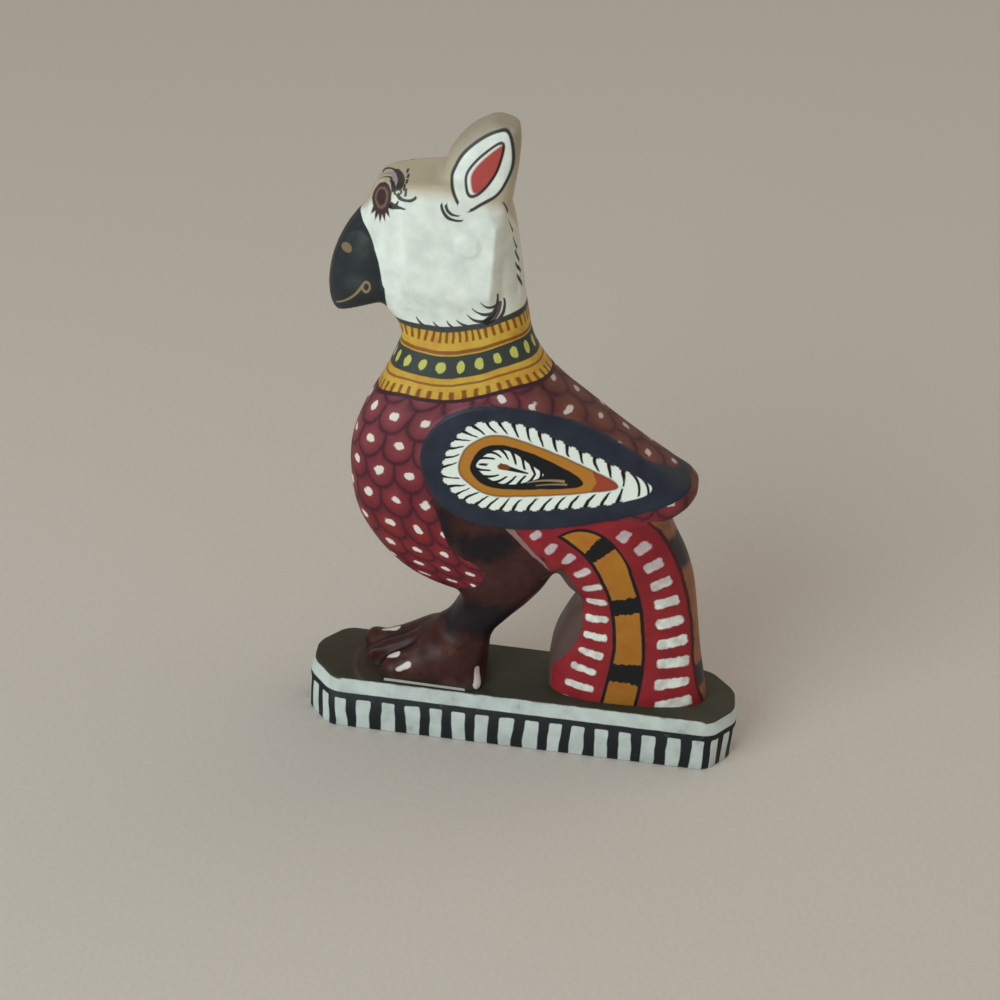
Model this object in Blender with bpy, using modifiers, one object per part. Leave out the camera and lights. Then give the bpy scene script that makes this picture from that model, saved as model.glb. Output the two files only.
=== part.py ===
"""A painted wooden bird, carved with its plinth from one upright block.

The bird faces -Y and its left side is +X. The origin is the centre of the plinth's underside.
The outline and the carving are shares of the bird's own height, and the thicknesses are shares of the
block's half thickness. The plinth has sizes of its own.
"""

import math

import bmesh
import bpy
import numpy as np

# Driving sizes, in metres.
BIRD_HEIGHT = 0.137
BLOCK_THICKNESS = 0.0225
# The bird's own zero line stands this far behind the plinth's middle.
BIRD_SETBACK = 0.0006
PLINTH_LENGTH = 0.099
PLINTH_WIDTH = 0.0225
PLINTH_THICKNESS = 0.013
PLINTH_CORNER_LENGTH = 0.0058
PLINTH_CORNER_WIDTH = 0.0072
PLINTH_SLOPE_HEIGHT = 0.0033
PLINTH_SLOPE_INSET = 0.0008
PLINTH_CORNER_ROUNDING = 0.0022
WING_RELIEF = 0.0008

BLOCK_HALF = BLOCK_THICKNESS / 2
PLINTH_HALF = PLINTH_WIDTH / 2
SHARE = BIRD_HEIGHT / 100

# Finish of the carving: the grid that joins the forms, how often it is smoothed, and what part of its
# faces stay.
JOIN_GRID = 0.0008
SMOOTH_PASSES = 6
SMOOTH_STRENGTH = 0.5
KEPT_FACES = 0.125

RING_POINTS = 32
RINGS_PER_STEP = 5

# Each cut across a form runs from a point on its front line to one on its back line, both as hundredths
# of the bird's height (forward is minus, then up), and has a half thickness as a share of the block's,
# or of the plinth's for what stands on the plinth.
TORSO = (
    (-25.6, 67.0, -8.6, 72.5, 0.6),
    (-25.2, 62.5, -6.6, 68.0, 0.68),
    (-27.4, 55.5, -3.8, 61.6, 0.84),
    (-30.9, 47.5, 0.4, 57.0, 0.96),
    (-32.3, 39.5, 6.2, 53.0, 1.0),
    (-29.8, 28.5, 11.6, 49.4, 1.0),
    (-21.0, 19.3, 16.4, 46.4, 1.0),
    (-8.0, 17.0, 19.8, 44.2, 0.96),
    (5.0, 26.0, 22.2, 42.8, 0.86),
    (15.0, 32.0, 23.6, 41.6, 0.7),
    (21.0, 36.5, 23.9, 40.4, 0.5),
)
HEAD = (
    (-25.0, 60.0, -5.6, 66.0, 0.66),
    (-26.2, 64.3, -6.9, 71.0, 0.68),
    (-28.8, 67.6, -7.8, 76.0, 0.78),
    (-29.9, 72.0, -8.8, 80.2, 0.84),
    (-31.0, 77.0, -9.8, 83.6, 0.86),
    (-32.3, 81.5, -11.0, 86.4, 0.84),
    (-31.4, 85.6, -13.0, 88.6, 0.8),
    (-30.3, 88.0, -17.0, 89.9, 0.72),
)
BEAK = (
    (-33.0, 82.2, -28.0, 81.0, 0.4),
    (-35.2, 78.6, -26.0, 77.0, 0.6),
    (-36.8, 74.2, -24.5, 73.0, 0.68),
    (-37.3, 70.0, -24.0, 69.5, 0.64),
    (-36.9, 66.6, -28.5, 67.5, 0.48),
    (-36.0, 64.9, -33.5, 65.6, 0.3),
)
CREST = (
    (-21.0, 78.0, -11.5, 74.0, 0.8),
    (-21.0, 85.0, -10.6, 82.0, 0.78),
    (-20.9, 89.6, -10.1, 86.8, 0.64),
    (-20.0, 93.2, -9.7, 91.4, 0.52),
    (-17.4, 96.8, -9.7, 95.6, 0.45),
    (-14.0, 98.9, -10.1, 98.1, 0.4),
)
LEG = (
    (-16.0, 27.0, 5.0, 31.0, 0.98),
    (-13.8, 19.0, 2.4, 22.0, 0.9),
    (-12.6, 15.0, -0.2, 17.2, 0.72),
    (-13.6, 12.0, -3.8, 12.6, 0.6),
    (-15.2, 8.6, -6.6, 8.4, 0.56),
    (-16.5, 3.5, -7.0, 3.0, 0.72),
    (-17.0, -2.0, -7.0, -2.0, 0.8),
)
# The foot's cuts run from its top down into the plinth, and the foot from the toes to the heel.
FOOT = (
    (-26.6, 1.4, -26.6, -1.6, 0.56),
    (-25.0, 3.6, -25.0, -2.6, 0.76),
    (-21.0, 5.6, -21.0, -2.6, 0.86),
    (-16.5, 8.4, -16.5, -2.6, 0.84),
    (-11.5, 8.4, -11.5, -2.6, 0.8),
    (-8.4, 4.0, -8.4, -2.6, 0.74),
    (-7.2, 0.2, -7.2, -2.0, 0.6),
)
TAIL = (
    (-1.0, 31.0, 18.0, 38.0, 0.98),
    (3.6, 21.6, 21.2, 31.8, 0.88),
    (6.9, 18.2, 23.4, 28.0, 0.76),
    (5.3, 14.6, 25.2, 23.4, 0.68),
    (3.6, 10.2, 26.6, 17.0, 0.67),
    (3.1, 5.2, 28.2, 8.8, 0.67),
    (3.3, 0.2, 30.0, 1.4, 0.68),
    (3.3, -2.5, 30.0, -2.5, 0.68),
)
# How square each form's cuts are: 2 is an ellipse, and a higher number is nearer a rounded board. The
# taper thins a cut towards its front, or towards its back where it is minus.
FORMS = (
    {"cuts": TORSO, "half": BLOCK_HALF, "squareness": 2.6, "taper": 0.0},
    {"cuts": HEAD, "half": BLOCK_HALF, "squareness": 3.0, "taper": 0.12},
    {"cuts": BEAK, "half": BLOCK_HALF, "squareness": 2.0, "taper": 0.0},
    {"cuts": CREST, "half": BLOCK_HALF, "squareness": 3.2, "taper": 0.0},
    {"cuts": LEG, "half": PLINTH_HALF, "squareness": 2.4, "taper": 0.0},
    {"cuts": FOOT, "half": PLINTH_HALF, "squareness": 2.2, "taper": 0.0},
    {"cuts": TAIL, "half": PLINTH_HALF, "squareness": 2.6, "taper": -0.14},
)

# Toes run from the ankle to their tips. Each place is sideways, as a share of the plinth's half width,
# then forward and up as hundredths of the bird's height.
ANKLE = (0.0, -12.0, 8.6)
ANKLE_RADIUS = 3.4
TOE_RADIUS = 2.1
TOE_TIPS = (
    (-0.61, -25.4, 1.0),
    (0.05, -25.8, 1.2),
    (0.63, -23.8, 1.0),
    (0.6, -9.2, 0.6),
    (-0.6, -9.2, 0.6),
)
TOE_STEPS = 8
TOE_BALL_SEGMENTS = 16
TOE_BALL_RINGS = 8

# The wing's outline, from its round nose over the top to its tip and back below.
WING = (
    (-20.4, 43.6),
    (-17.8, 51.0),
    (-10.0, 54.6),
    (2.7, 52.7),
    (14.6, 46.3),
    (22.4, 41.8),
    (9.4, 36.4),
    (-5.0, 33.3),
    (-15.5, 35.2),
)
WING_OUTLINE_STEPS = 8
WING_EDGE = 1.0
# Nearer the middle than this share of the half thickness, the wings' relief fades out.
WING_FADE = 0.6

# The plinth's corners in order round it: which side, which end, and whether the end's point comes first.
PLINTH_CORNERS = ((1, -1, True), (1, 1, False), (-1, 1, True), (-1, -1, False))
PLINTH_ROUNDING_STEPS = 3

WOOD_COLOUR = (0.29, 0.075, 0.06, 1.0)
WOOD_ROUGHNESS = 0.42
WOOD_METALLIC = 0.0


def remove_scene_objects():
    for old in list(bpy.data.objects):
        bpy.data.objects.remove(old, do_unlink=True)


def collection_named(name):
    made = bpy.data.collections.new(name)
    bpy.context.scene.collection.children.link(made)
    return made


def painted_wood():
    material = bpy.data.materials.new("painted_wood")
    material.use_nodes = True
    shader = material.node_tree.nodes["Principled BSDF"]
    shader.inputs["Base Color"].default_value = WOOD_COLOUR
    shader.inputs["Roughness"].default_value = WOOD_ROUGHNESS
    shader.inputs["Metallic"].default_value = WOOD_METALLIC
    return material


def object_of(shape, name, collection):
    """A bmesh made into an object, with its normals outwards."""
    bmesh.ops.recalc_face_normals(shape, faces=shape.faces)
    mesh = bpy.data.meshes.new(name)
    shape.to_mesh(mesh)
    shape.free()
    made = bpy.data.objects.new(name, mesh)
    collection.objects.link(made)
    return made


def smooth_rows(rows, steps):
    """Rows of numbers with more of them between, on smooth curves through the given ones."""
    rows = np.array(rows, float)
    padded = np.vstack([2 * rows[0] - rows[1], rows, 2 * rows[-1] - rows[-2]])
    found = []
    for index in range(1, len(rows)):
        before, start, end, after = padded[index - 1 : index + 3]
        for step in range(steps):
            t = step / steps
            found.append(
                0.5
                * (
                    2 * start
                    + (end - before) * t
                    + (2 * before - 5 * start + 4 * end - after) * t**2
                    + (3 * start - before - 3 * end + after) * t**3
                )
            )
    found.append(rows[-1])
    return np.array(found)


def rounded(angle, squareness):
    """The two coordinates of a rounded square's edge at this angle, from -1 to 1."""
    return (
        math.copysign(abs(math.cos(angle)) ** (2 / squareness), math.cos(angle)),
        math.copysign(abs(math.sin(angle)) ** (2 / squareness), math.sin(angle)),
    )


def skin(shape, rings):
    """Joins each ring of vertices to the next, and closes both ends."""
    for near, far in zip(rings, rings[1:]):
        for here in range(len(near)):
            after = (here + 1) % len(near)
            shape.faces.new((near[here], near[after], far[after], far[here]))
    shape.faces.new(reversed(rings[0]))
    shape.faces.new(rings[-1])


def add_form(shape, cuts, half, squareness, taper):
    """One form of the bird: a loft through its cuts."""
    rings = []
    for front_y, front_z, back_y, back_z, thick in smooth_rows(cuts, RINGS_PER_STEP):
        ring = []
        for point in range(RING_POINTS):
            across, along = rounded(math.tau * point / RING_POINTS, squareness)
            x = across * thick * (1 + taper * along) * half
            y = (front_y + back_y + along * (back_y - front_y)) / 2
            z = (front_z + back_z + along * (back_z - front_z)) / 2
            ring.append(shape.verts.new((x, y * SHARE + BIRD_SETBACK, z * SHARE + PLINTH_THICKNESS)))
        rings.append(ring)
    skin(shape, rings)


def add_toe(shape, tip):
    """A toe: balls that shrink from the ankle to the tip, close enough to run together."""
    for step in range(TOE_STEPS + 1):
        t = step / TOE_STEPS
        shares_on = (t, t, math.sin(t * math.pi / 2))
        x, y, z = (a + (b - a) * on for a, b, on in zip(ANKLE, tip, shares_on))
        ball = bmesh.ops.create_uvsphere(
            shape,
            u_segments=TOE_BALL_SEGMENTS,
            v_segments=TOE_BALL_RINGS,
            radius=(ANKLE_RADIUS + (TOE_RADIUS - ANKLE_RADIUS) * t) * SHARE,
        )
        bmesh.ops.translate(
            shape,
            verts=ball["verts"],
            vec=(x * PLINTH_HALF, y * SHARE + BIRD_SETBACK, z * SHARE + PLINTH_THICKNESS),
        )


def bird_forms(collection):
    """All the forms of the bird in one mesh, still passing through each other."""
    shape = bmesh.new()
    for form in FORMS:
        add_form(shape, **form)
    for tip in TOE_TIPS:
        add_toe(shape, tip)
    return object_of(shape, "bird_forms", collection)


def joined_bird(forms, collection):
    """The forms joined into one smooth skin, as its own object."""
    remesh = forms.modifiers.new("join", "REMESH")
    remesh.mode = "VOXEL"
    remesh.voxel_size = JOIN_GRID
    smooth = forms.modifiers.new("smooth", "SMOOTH")
    smooth.factor = SMOOTH_STRENGTH
    smooth.iterations = SMOOTH_PASSES
    graph = bpy.context.evaluated_depsgraph_get()
    mesh = bpy.data.meshes.new_from_object(forms.evaluated_get(graph))
    bird = bpy.data.objects.new("bird_figurine", mesh)
    collection.objects.link(bird)
    bpy.data.objects.remove(forms, do_unlink=True)
    return bird


def closed_curve(corners, steps):
    """A smooth closed curve through the given points."""
    wrapped = corners[-2:] + corners + corners[:3]
    return smooth_rows(wrapped, steps)[2 * steps : (2 + len(corners)) * steps]


def depth_inside(places, outline):
    """How far inside a closed outline each place is, and less than 0 outside it."""
    nearest = np.full(len(places), np.inf)
    inside = np.zeros(len(places), bool)
    for start, end in zip(outline, np.roll(outline, -1, axis=0)):
        side = end - start
        along = np.clip(((places - start) @ side) / (side @ side), 0, 1)
        nearest = np.minimum(nearest, np.linalg.norm(places - start - along[:, None] * side, axis=1))
        if start[1] != end[1]:
            crosses = (places[:, 1] < start[1]) != (places[:, 1] < end[1])
            inside ^= crosses & (places[:, 0] < start[0] + side[0] * (places[:, 1] - start[1]) / side[1])
    return np.where(inside, nearest, -nearest)


def carve_wings(bird):
    """Raises the wings a little from the flanks."""
    mesh = bird.data
    points = np.empty(len(mesh.vertices) * 3)
    mesh.vertices.foreach_get("co", points)
    points = points.reshape(-1, 3)
    places = np.stack([points[:, 1] - BIRD_SETBACK, points[:, 2] - PLINTH_THICKNESS], axis=-1) / SHARE
    inside = depth_inside(places, closed_curve(WING, WING_OUTLINE_STEPS))
    step = np.clip(inside / WING_EDGE + 0.5, 0, 1)
    flank = np.clip(np.abs(points[:, 0]) / (WING_FADE * BLOCK_HALF), 0, 1)
    points[:, 0] += np.sign(points[:, 0]) * WING_RELIEF * step * flank
    mesh.vertices.foreach_set("co", points.reshape(-1))
    mesh.update()


def plinth_outline(inset):
    """The plinth's eight corners, an oblong with its corners cut off, drawn in by inset."""
    half_x = PLINTH_WIDTH / 2 - inset
    half_y = PLINTH_LENGTH / 2 - inset
    corners = []
    for side_x, side_y, end_first in PLINTH_CORNERS:
        at_end = (side_x * (half_x - PLINTH_CORNER_WIDTH), side_y * half_y)
        at_side = (side_x * half_x, side_y * (half_y - PLINTH_CORNER_LENGTH))
        corners += [at_end, at_side] if end_first else [at_side, at_end]
    return corners


def plinth(collection):
    shape = bmesh.new()
    levels = (
        (0.0, 0.0),
        (PLINTH_THICKNESS - PLINTH_SLOPE_HEIGHT, 0.0),
        (PLINTH_THICKNESS, PLINTH_SLOPE_INSET),
    )
    rings = []
    for height, inset in levels:
        rings.append([shape.verts.new((x, y, height)) for x, y in plinth_outline(inset)])
    skin(shape, rings)
    upright = [edge for edge in shape.edges if edge.verts[0].co.z != edge.verts[1].co.z]
    bmesh.ops.bevel(
        shape,
        geom=upright,
        offset=PLINTH_CORNER_ROUNDING,
        segments=PLINTH_ROUNDING_STEPS,
        profile=0.5,
        affect="EDGES",
        material=-1,
    )
    made = object_of(shape, "plinth_form", collection)
    made.hide_render = True
    made.display_type = "WIRE"
    return made


def finish(bird, base):
    """Thins the skin out to the faces that its form needs, and joins the plinth to it."""
    thin = bird.modifiers.new("thin", "DECIMATE")
    thin.ratio = KEPT_FACES
    join = bird.modifiers.new("plinth", "BOOLEAN")
    join.operation = "UNION"
    join.solver = "EXACT"
    join.object = base
    bird.data.materials.clear()
    bird.data.materials.append(painted_wood())
    bird.data.shade_smooth()


def main():
    remove_scene_objects()
    figurine = collection_named("bird_figurine")
    helpers = collection_named("joined_forms")
    bird = joined_bird(bird_forms(helpers), figurine)
    carve_wings(bird)
    finish(bird, plinth(helpers))


main()
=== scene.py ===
import math

import bmesh
import bpy
import numpy as np
from mathutils import Matrix, Vector


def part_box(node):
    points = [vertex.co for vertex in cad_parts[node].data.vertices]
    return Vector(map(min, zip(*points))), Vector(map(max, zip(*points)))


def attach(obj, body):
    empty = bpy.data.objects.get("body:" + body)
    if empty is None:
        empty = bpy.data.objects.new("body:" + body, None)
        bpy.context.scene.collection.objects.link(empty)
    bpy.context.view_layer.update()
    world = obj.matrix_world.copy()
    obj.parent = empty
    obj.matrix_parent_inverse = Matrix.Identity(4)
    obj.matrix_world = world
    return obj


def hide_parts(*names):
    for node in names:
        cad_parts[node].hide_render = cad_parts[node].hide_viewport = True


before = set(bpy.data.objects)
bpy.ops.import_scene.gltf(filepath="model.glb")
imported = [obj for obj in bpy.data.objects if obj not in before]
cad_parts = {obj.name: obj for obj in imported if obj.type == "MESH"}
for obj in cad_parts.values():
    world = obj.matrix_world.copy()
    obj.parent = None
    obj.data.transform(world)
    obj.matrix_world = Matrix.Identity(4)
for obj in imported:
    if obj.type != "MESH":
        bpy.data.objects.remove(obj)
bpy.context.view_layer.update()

FIGURINE = "bird_figurine"

MM = 0.001
BIRD_HEIGHT = 0.137
BIRD_SETBACK = 0.0006
GROUND = 0.013
SHARE = BIRD_HEIGHT / 100
SHARE_MM = SHARE / MM

# The fine skin of the bird.
WELD = 1e-6
CUT_ABOVE_GROUND = 0.00005
FOOTING = 0.001
SKIN_GRID = 0.00052
# It is evened by these two amounts in turn, and less at the foot.
SMOOTHING = (0.5, -0.53)
SMOOTH_ROUNDS = 26
FOOT_SMOOTHING = 0.35
FOOT_SMOOTHING_END = (8.0, 14.0)

# The wing's raised edge, as the solid has it and as it is carved here.
WING = (
    (-20.4, 43.6),
    (-17.8, 51.0),
    (-10.0, 54.6),
    (2.7, 52.7),
    (14.6, 46.3),
    (22.4, 41.8),
    (9.4, 36.4),
    (-5.0, 33.3),
    (-15.5, 35.2),
)
WING_RELIEF = 0.0008
SOLID_WING_EDGE = 1.37
WING_EDGE = 0.75
WING_FADE = 6.75

# The wing's painted rings, from the outside in. The white one is taken to be at least this wide, in mm.
THINNEST_RING = 0.1
FEATHER_RING = (
    (-16.9, 42.4),
    (-16.3, 46.3),
    (-13.9, 50.5),
    (-10.0, 52.3),
    (-3.8, 51.8),
    (4.3, 48.3),
    (10.8, 45.5),
    (16.3, 42.3),
    (11.5, 40.0),
    (3.8, 38.3),
    (-7.1, 36.6),
    (-13.2, 37.7),
    (-16.1, 40.3),
)
OCHRE_RING = (
    (-14.2, 43.5),
    (-13.5, 46.9),
    (-10.9, 49.3),
    (-7.5, 50.0),
    (-1.1, 48.2),
    (6.2, 45.2),
    (10.9, 42.6),
    (5.6, 41.3),
    (-2.6, 39.9),
    (-8.9, 39.3),
    (-12.9, 41.3),
)
BLACK_RING = (
    (-12.3, 44.3),
    (-10.8, 47.4),
    (-7.3, 48.3),
    (-0.9, 46.5),
    (5.4, 42.8),
    (-1.2, 41.4),
    (-8.2, 40.7),
    (-11.4, 42.1),
)
ALMOND_RING = (
    (-11.7, 44.8),
    (-9.3, 47.4),
    (-6.5, 47.7),
    (-3.2, 45.8),
    (-0.6, 43.7),
    (-4.4, 41.7),
    (-7.8, 41.4),
    (-10.8, 42.9),
)

# The crest's painted rings.
CREST_RING = (
    (-17.7, 87.1),
    (-19.2, 90.0),
    (-18.8, 92.1),
    (-17.7, 94.2),
    (-15.6, 96.4),
    (-13.4, 97.8),
    (-11.7, 98.0),
    (-10.8, 96.0),
    (-10.5, 92.8),
    (-11.4, 89.9),
    (-12.6, 88.2),
    (-14.6, 87.2),
    (-16.3, 86.3),
)
CREST_ALMOND = (
    (-12.2, 96.3),
    (-15.0, 94.2),
    (-17.0, 91.4),
    (-16.9, 89.3),
    (-16.0, 88.3),
    (-14.3, 89.2),
    (-12.6, 92.3),
)
CREST_RED_LEAF = tuple((back + 0.45, up + 0.05) for back, up in CREST_ALMOND)

# Where the colours of the leg and the thigh end.
LEG_EDGE = (
    (-17.6, 37.0),
    (-17.0, 33.9),
    (-15.5, 29.7),
    (-13.7, 27.0),
    (-11.1, 25.5),
    (-8.6, 23.8),
    (-9.6, 21.0),
    (-13.0, 18.5),
    (-19.0, 15.0),
    (-26.0, 9.0),
    (-40.0, 5.0),
    (-40.0, -6.0),
    (2.0, -6.0),
    (2.0, 10.0),
    (3.5, 20.0),
    (1.7, 25.9),
    (-1.6, 29.6),
    (-4.6, 33.3),
    (-6.5, 37.0),
)
THIGH_PATCHES = (
    ((-17.0, 35.0), (-15.2, 34.0), (-14.6, 31.0), (-13.4, 29.3), (-14.6, 28.4), (-16.0, 31.0)),
    ((-13.9, 30.3), (-9.9, 31.5), (-6.0, 32.2), (-3.8, 30.5), (-6.2, 27.1), (-9.9, 25.9), (-12.9, 27.2)),
)
ANKLE_BAND = (
    (-15.0, 11.2),
    (-12.8, 14.2),
    (-9.8, 16.9),
    (-4.0, 16.4),
    (-4.6, 11.4),
    (-7.2, 8.4),
    (-11.0, 9.2),
    (-13.9, 8.8),
)

# The lines down the tail: its front edge, both sides of the ochre stripe, and its back edge.
TAIL_LINES = {
    "tail_front": (
        (-6.6, 35.2),
        (-4.4, 33.2),
        (-1.8, 30.6),
        (2.7, 26.5),
        (6.2, 22.5),
        (7.6, 18.7),
        (8.0, 15.4),
        (7.6, 11.6),
        (5.8, 7.8),
        (4.0, 4.5),
        (4.0, 0.5),
        (4.4, -4.0),
    ),
    "ochre_front": (
        (-1.5, 35.0),
        (1.6, 33.3),
        (4.8, 31.4),
        (8.0, 28.5),
        (9.9, 25.5),
        (11.7, 21.4),
        (12.9, 16.6),
        (13.6, 11.7),
        (13.5, 6.7),
        (12.9, 1.2),
        (12.5, -4.0),
    ),
    "ochre_back": (
        (5.5, 36.5),
        (8.5, 34.4),
        (11.1, 32.4),
        (13.5, 29.3),
        (15.5, 24.3),
        (16.9, 20.0),
        (18.2, 13.2),
        (18.7, 8.2),
        (18.7, 4.2),
        (18.4, 0.8),
        (18.2, -4.0),
    ),
    "tail_back": (
        (14.5, 39.0),
        (17.6, 34.9),
        (20.1, 31.1),
        (22.6, 26.3),
        (24.6, 20.4),
        (26.0, 14.5),
        (26.9, 8.7),
        (28.2, 3.8),
        (29.6, 0.0),
        (30.8, -4.0),
    ),
}
# The middles of the two rows of dashes and of the ochre stripe.
TAIL_ROWS = {
    "front_dashes": (
        (-3.6, 34.6),
        (-1.1, 32.5),
        (1.6, 30.2),
        (4.3, 28.6),
        (6.6, 26.3),
        (8.4, 24.0),
        (9.7, 20.5),
        (10.2, 16.7),
        (10.4, 13.6),
        (10.1, 10.0),
        (9.2, 6.5),
        (8.7, 2.6),
        (8.2, -4.0),
    ),
    "ochre_middle": (
        (2.6, 33.4),
        (6.8, 32.5),
        (9.1, 31.2),
        (13.0, 26.3),
        (15.2, 19.8),
        (16.4, 13.0),
        (16.7, 6.1),
        (16.2, 0.0),
        (16.0, -4.0),
    ),
    "back_dashes": (
        (10.4, 35.2),
        (12.8, 33.7),
        (15.1, 32.3),
        (17.3, 29.6),
        (19.4, 25.2),
        (20.9, 21.3),
        (22.1, 16.6),
        (23.0, 12.8),
        (23.6, 8.9),
        (23.9, 4.5),
        (24.6, 0.8),
        (25.2, -4.0),
    ),
}

# The collar's lower and upper edge, and the beak's rear edge (back, up).
COLLAR_BOTTOM = (
    (-30.0, 52.4),
    (-28.4, 52.7),
    (-24.5, 53.9),
    (-18.5, 54.2),
    (-14.1, 55.1),
    (-7.5, 57.4),
    (-1.5, 58.7),
)
COLLAR_TOP = (
    (-27.0, 64.5),
    (-24.5, 64.7),
    (-21.1, 64.9),
    (-17.7, 65.2),
    (-13.0, 66.5),
    (-8.6, 68.3),
    (-5.5, 69.0),
)
BEAK_EDGE = (
    (-27.6, 66.0),
    (-28.0, 70.6),
    (-28.5, 71.8),
    (-29.3, 75.1),
    (-30.4, 78.0),
    (-31.8, 80.6),
    (-33.3, 82.4),
)
# The beak lies in front of the first and above the second, so it is over the collar, whose top is at 1.
BEAK_BEHIND = -27.7
BEAK_ABOVE = 60.0
OVER_COLLAR = 2.0

# The head's flat facets: a side, and one turned towards the beak and one towards the neck's back.
HEAD_SIDE = 9.3
FACET_DEEPEST = 1.2
# The facets fade out at these heights in shares, and towards the middle at these places in mm.
FACET_LOW = (69.0, 73.0)
FACET_HIGH = (88.0, 84.5)
FACET_FROM_MIDDLE = (3.0, 5.5)
FRONT_EDGE = (-25.4, 78.6)
FRONT_EDGE_LEAN = -0.12
FRONT_TURN = 0.55
REAR_EDGE = -11.9
REAR_TURN = 1.25
CHEEK_KNOT = (-15.8, 80.5)
CHEEK_KNOT_RADIUS = 2.9
CHEEK_KNOT_EDGE = 0.8
CHEEK_KNOT_HEIGHT = 0.42
# The brow's marks are drawn round the brow, from the near side to here on the far side.
BROW_FROM = 9.5
FAR_BROW_END = -6.4

# The scales go round the breast and down it. The breast's front is looked for at each of these levels.
# Its section is half an oval, with this depth in shares and half width in mm, and then runs straight on.
FRONT_LEVELS = (17.0, 72.0, 1.0)
FRONT_LEVEL_HALF = 0.7
BREAST_DEPTH = 18.0
BREAST_HALF = 11.25
SECTION_STEPS = 200
SCALES_TOP = 60.0
BELLY_TURN = 30.0
BELLY_STRETCH = 0.06
# On the back they run down its ridge instead: where it starts, the way down it and the way under it.
BACK_RIDGE = (-7.5, 57.4)
BACK_SLOPE = (0.845, -0.535)
BACK_UNDER = (-0.535, -0.845)
BACK_FROM = -13.0
BACK_ABOVE = 41.0
# The way the back faces, where it is browner: painted shade on faces turned up and back.
TOPSIDE = (0.0, 0.62, 0.78)
# The collar's dots go round the neck: its half width and depth in mm, and its front and back by height.
NECK_HALF = 9.0
NECK_DEPTH = 15.5
NECK_FRONT = ((52, 65), (-30.5, -26.5))
NECK_REAR = ((57, 69), (-1.5, -6.0))

# White nails: both ends (sideways in mm, back in shares, up in shares) and half widths in mm.
NAILS = (
    ((-5.0, -26.8, 1.6), (-3.4, -23.0, 4.4), 0.4, 1.0),
    ((4.9, -24.6, 3.1), (5.7, -22.4, 4.0), 1.15, 1.2),
    ((9.3, -21.3, 2.3), (8.9, -20.1, 3.3), 1.3, 1.3),
    ((6.8, -8.4, 3.0), (8.8, -8.1, 0.9), 0.9, 1.0),
    ((-6.8, -8.4, 3.0), (-8.8, -8.1, 0.9), 0.9, 1.0),
)

# How far the front toes are spread: at each place sideways in mm, a shift sideways in mm and back in shares.
TOES_AT = (-12.0, -6.9, 0.6, 7.1, 11.0)
TOES_SIDEWAYS = (0.8, 2.0, 2.1, -0.6, -1.2)
TOES_BACK = (-1.0, -1.0, 0.3, 1.4, 1.6)
TOES_FROM = (-13.0, -21.0)
TOES_UNDER = (9.0, 5.0)
# Grooves between the toes: both ends (sideways in mm, back in shares).
GROOVES = (((-1.0, -28.0), (-1.2, -15.0)), ((4.9, -26.0), (3.0, -14.5)))
GROOVE_DEPTH = 1.5
GROOVE_WIDTH = 1.1

# The plinth.
PLINTH_LENGTH = 0.099
PLINTH_WIDTH = 0.0225
PLINTH_CORNER_LENGTH = 0.0058
PLINTH_CORNER_WIDTH = 0.0072
PLINTH_SLOPE_HEIGHT = 0.0033
PLINTH_SLOPE_INSET = 0.0008
PLINTH_CORNER_ROUNDING = 0.0022
PLINTH_EDGE_ROUNDING = 0.0004
PLINTH_CORNER_SEGMENTS = 6
PLINTH_EDGE_SEGMENTS = 3
SHARP_ANGLE = 0.2
# The four corners in order round the plinth, and whether the cut starts at the plinth's end.
PLINTH_CORNERS = ((1, -1, True), (1, 1, False), (-1, 1, True), (-1, -1, False))

# A curve's steps between two places, and the depth of whatever is further than the reach from an outline.
CURVE_STEPS = 8
REACH = 4.0
FAR_AWAY = -50.0


# Shapes in numbers.


def smooth_curve(corners, closed):
    """A smooth curve through the given places."""
    corners = np.array(corners, float)
    if closed:
        padded = np.vstack([corners[-1:], corners, corners[:2]])
    else:
        padded = np.vstack([2 * corners[0] - corners[1], corners, 2 * corners[-1] - corners[-2]])
    found = []
    for before, start, end, after in zip(padded, padded[1:], padded[2:], padded[3:]):
        for t in np.arange(CURVE_STEPS) / CURVE_STEPS:
            found.append(
                0.5
                * (
                    2 * start
                    + (end - before) * t
                    + (2 * before - 5 * start + 4 * end - after) * t**2
                    + (3 * start - before - 3 * end + after) * t**3
                )
            )
    found.append(padded[-2])
    return np.array(found)


def along_line(places, line):
    """How far each place is from a line, how far down the line that is, and on which side."""
    nearest = np.full(len(places), np.inf)
    down = np.zeros(len(places))
    side = np.ones(len(places))
    run = 0.0
    for start, end in zip(line, line[1:]):
        step = end - start
        length = np.hypot(*step)
        t = np.clip((places - start) @ step / length**2, 0, 1)
        away = places - start - t[:, None] * step
        gap = np.hypot(away[:, 0], away[:, 1])
        closer = gap < nearest
        nearest = np.where(closer, gap, nearest)
        down = np.where(closer, run + t * length, down)
        side = np.where(closer, np.sign(step[0] * away[:, 1] - step[1] * away[:, 0]), side)
        run += length
    return nearest, down, side


def depth_inside(places, corners):
    """How far inside a closed outline each place is, in mm, and less than 0 outside it."""
    outline = smooth_curve(corners, True)
    depth = np.full(len(places), FAR_AWAY)
    low = outline.min(axis=0) - REACH
    high = outline.max(axis=0) + REACH
    near = np.all((places > low) & (places < high), axis=1)
    tested = places[near]
    gap = along_line(tested, outline)[0]
    inside = np.zeros(len(tested), bool)
    for start, end in zip(outline, outline[1:]):
        if start[1] != end[1]:
            crosses = (tested[:, 1] < start[1]) != (tested[:, 1] < end[1])
            slope = (end[0] - start[0]) / (end[1] - start[1])
            inside ^= crosses & (tested[:, 0] < start[0] + slope * (tested[:, 1] - start[1]))
    depth[near] = np.where(inside, gap, -gap) * SHARE_MM
    return depth


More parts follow.
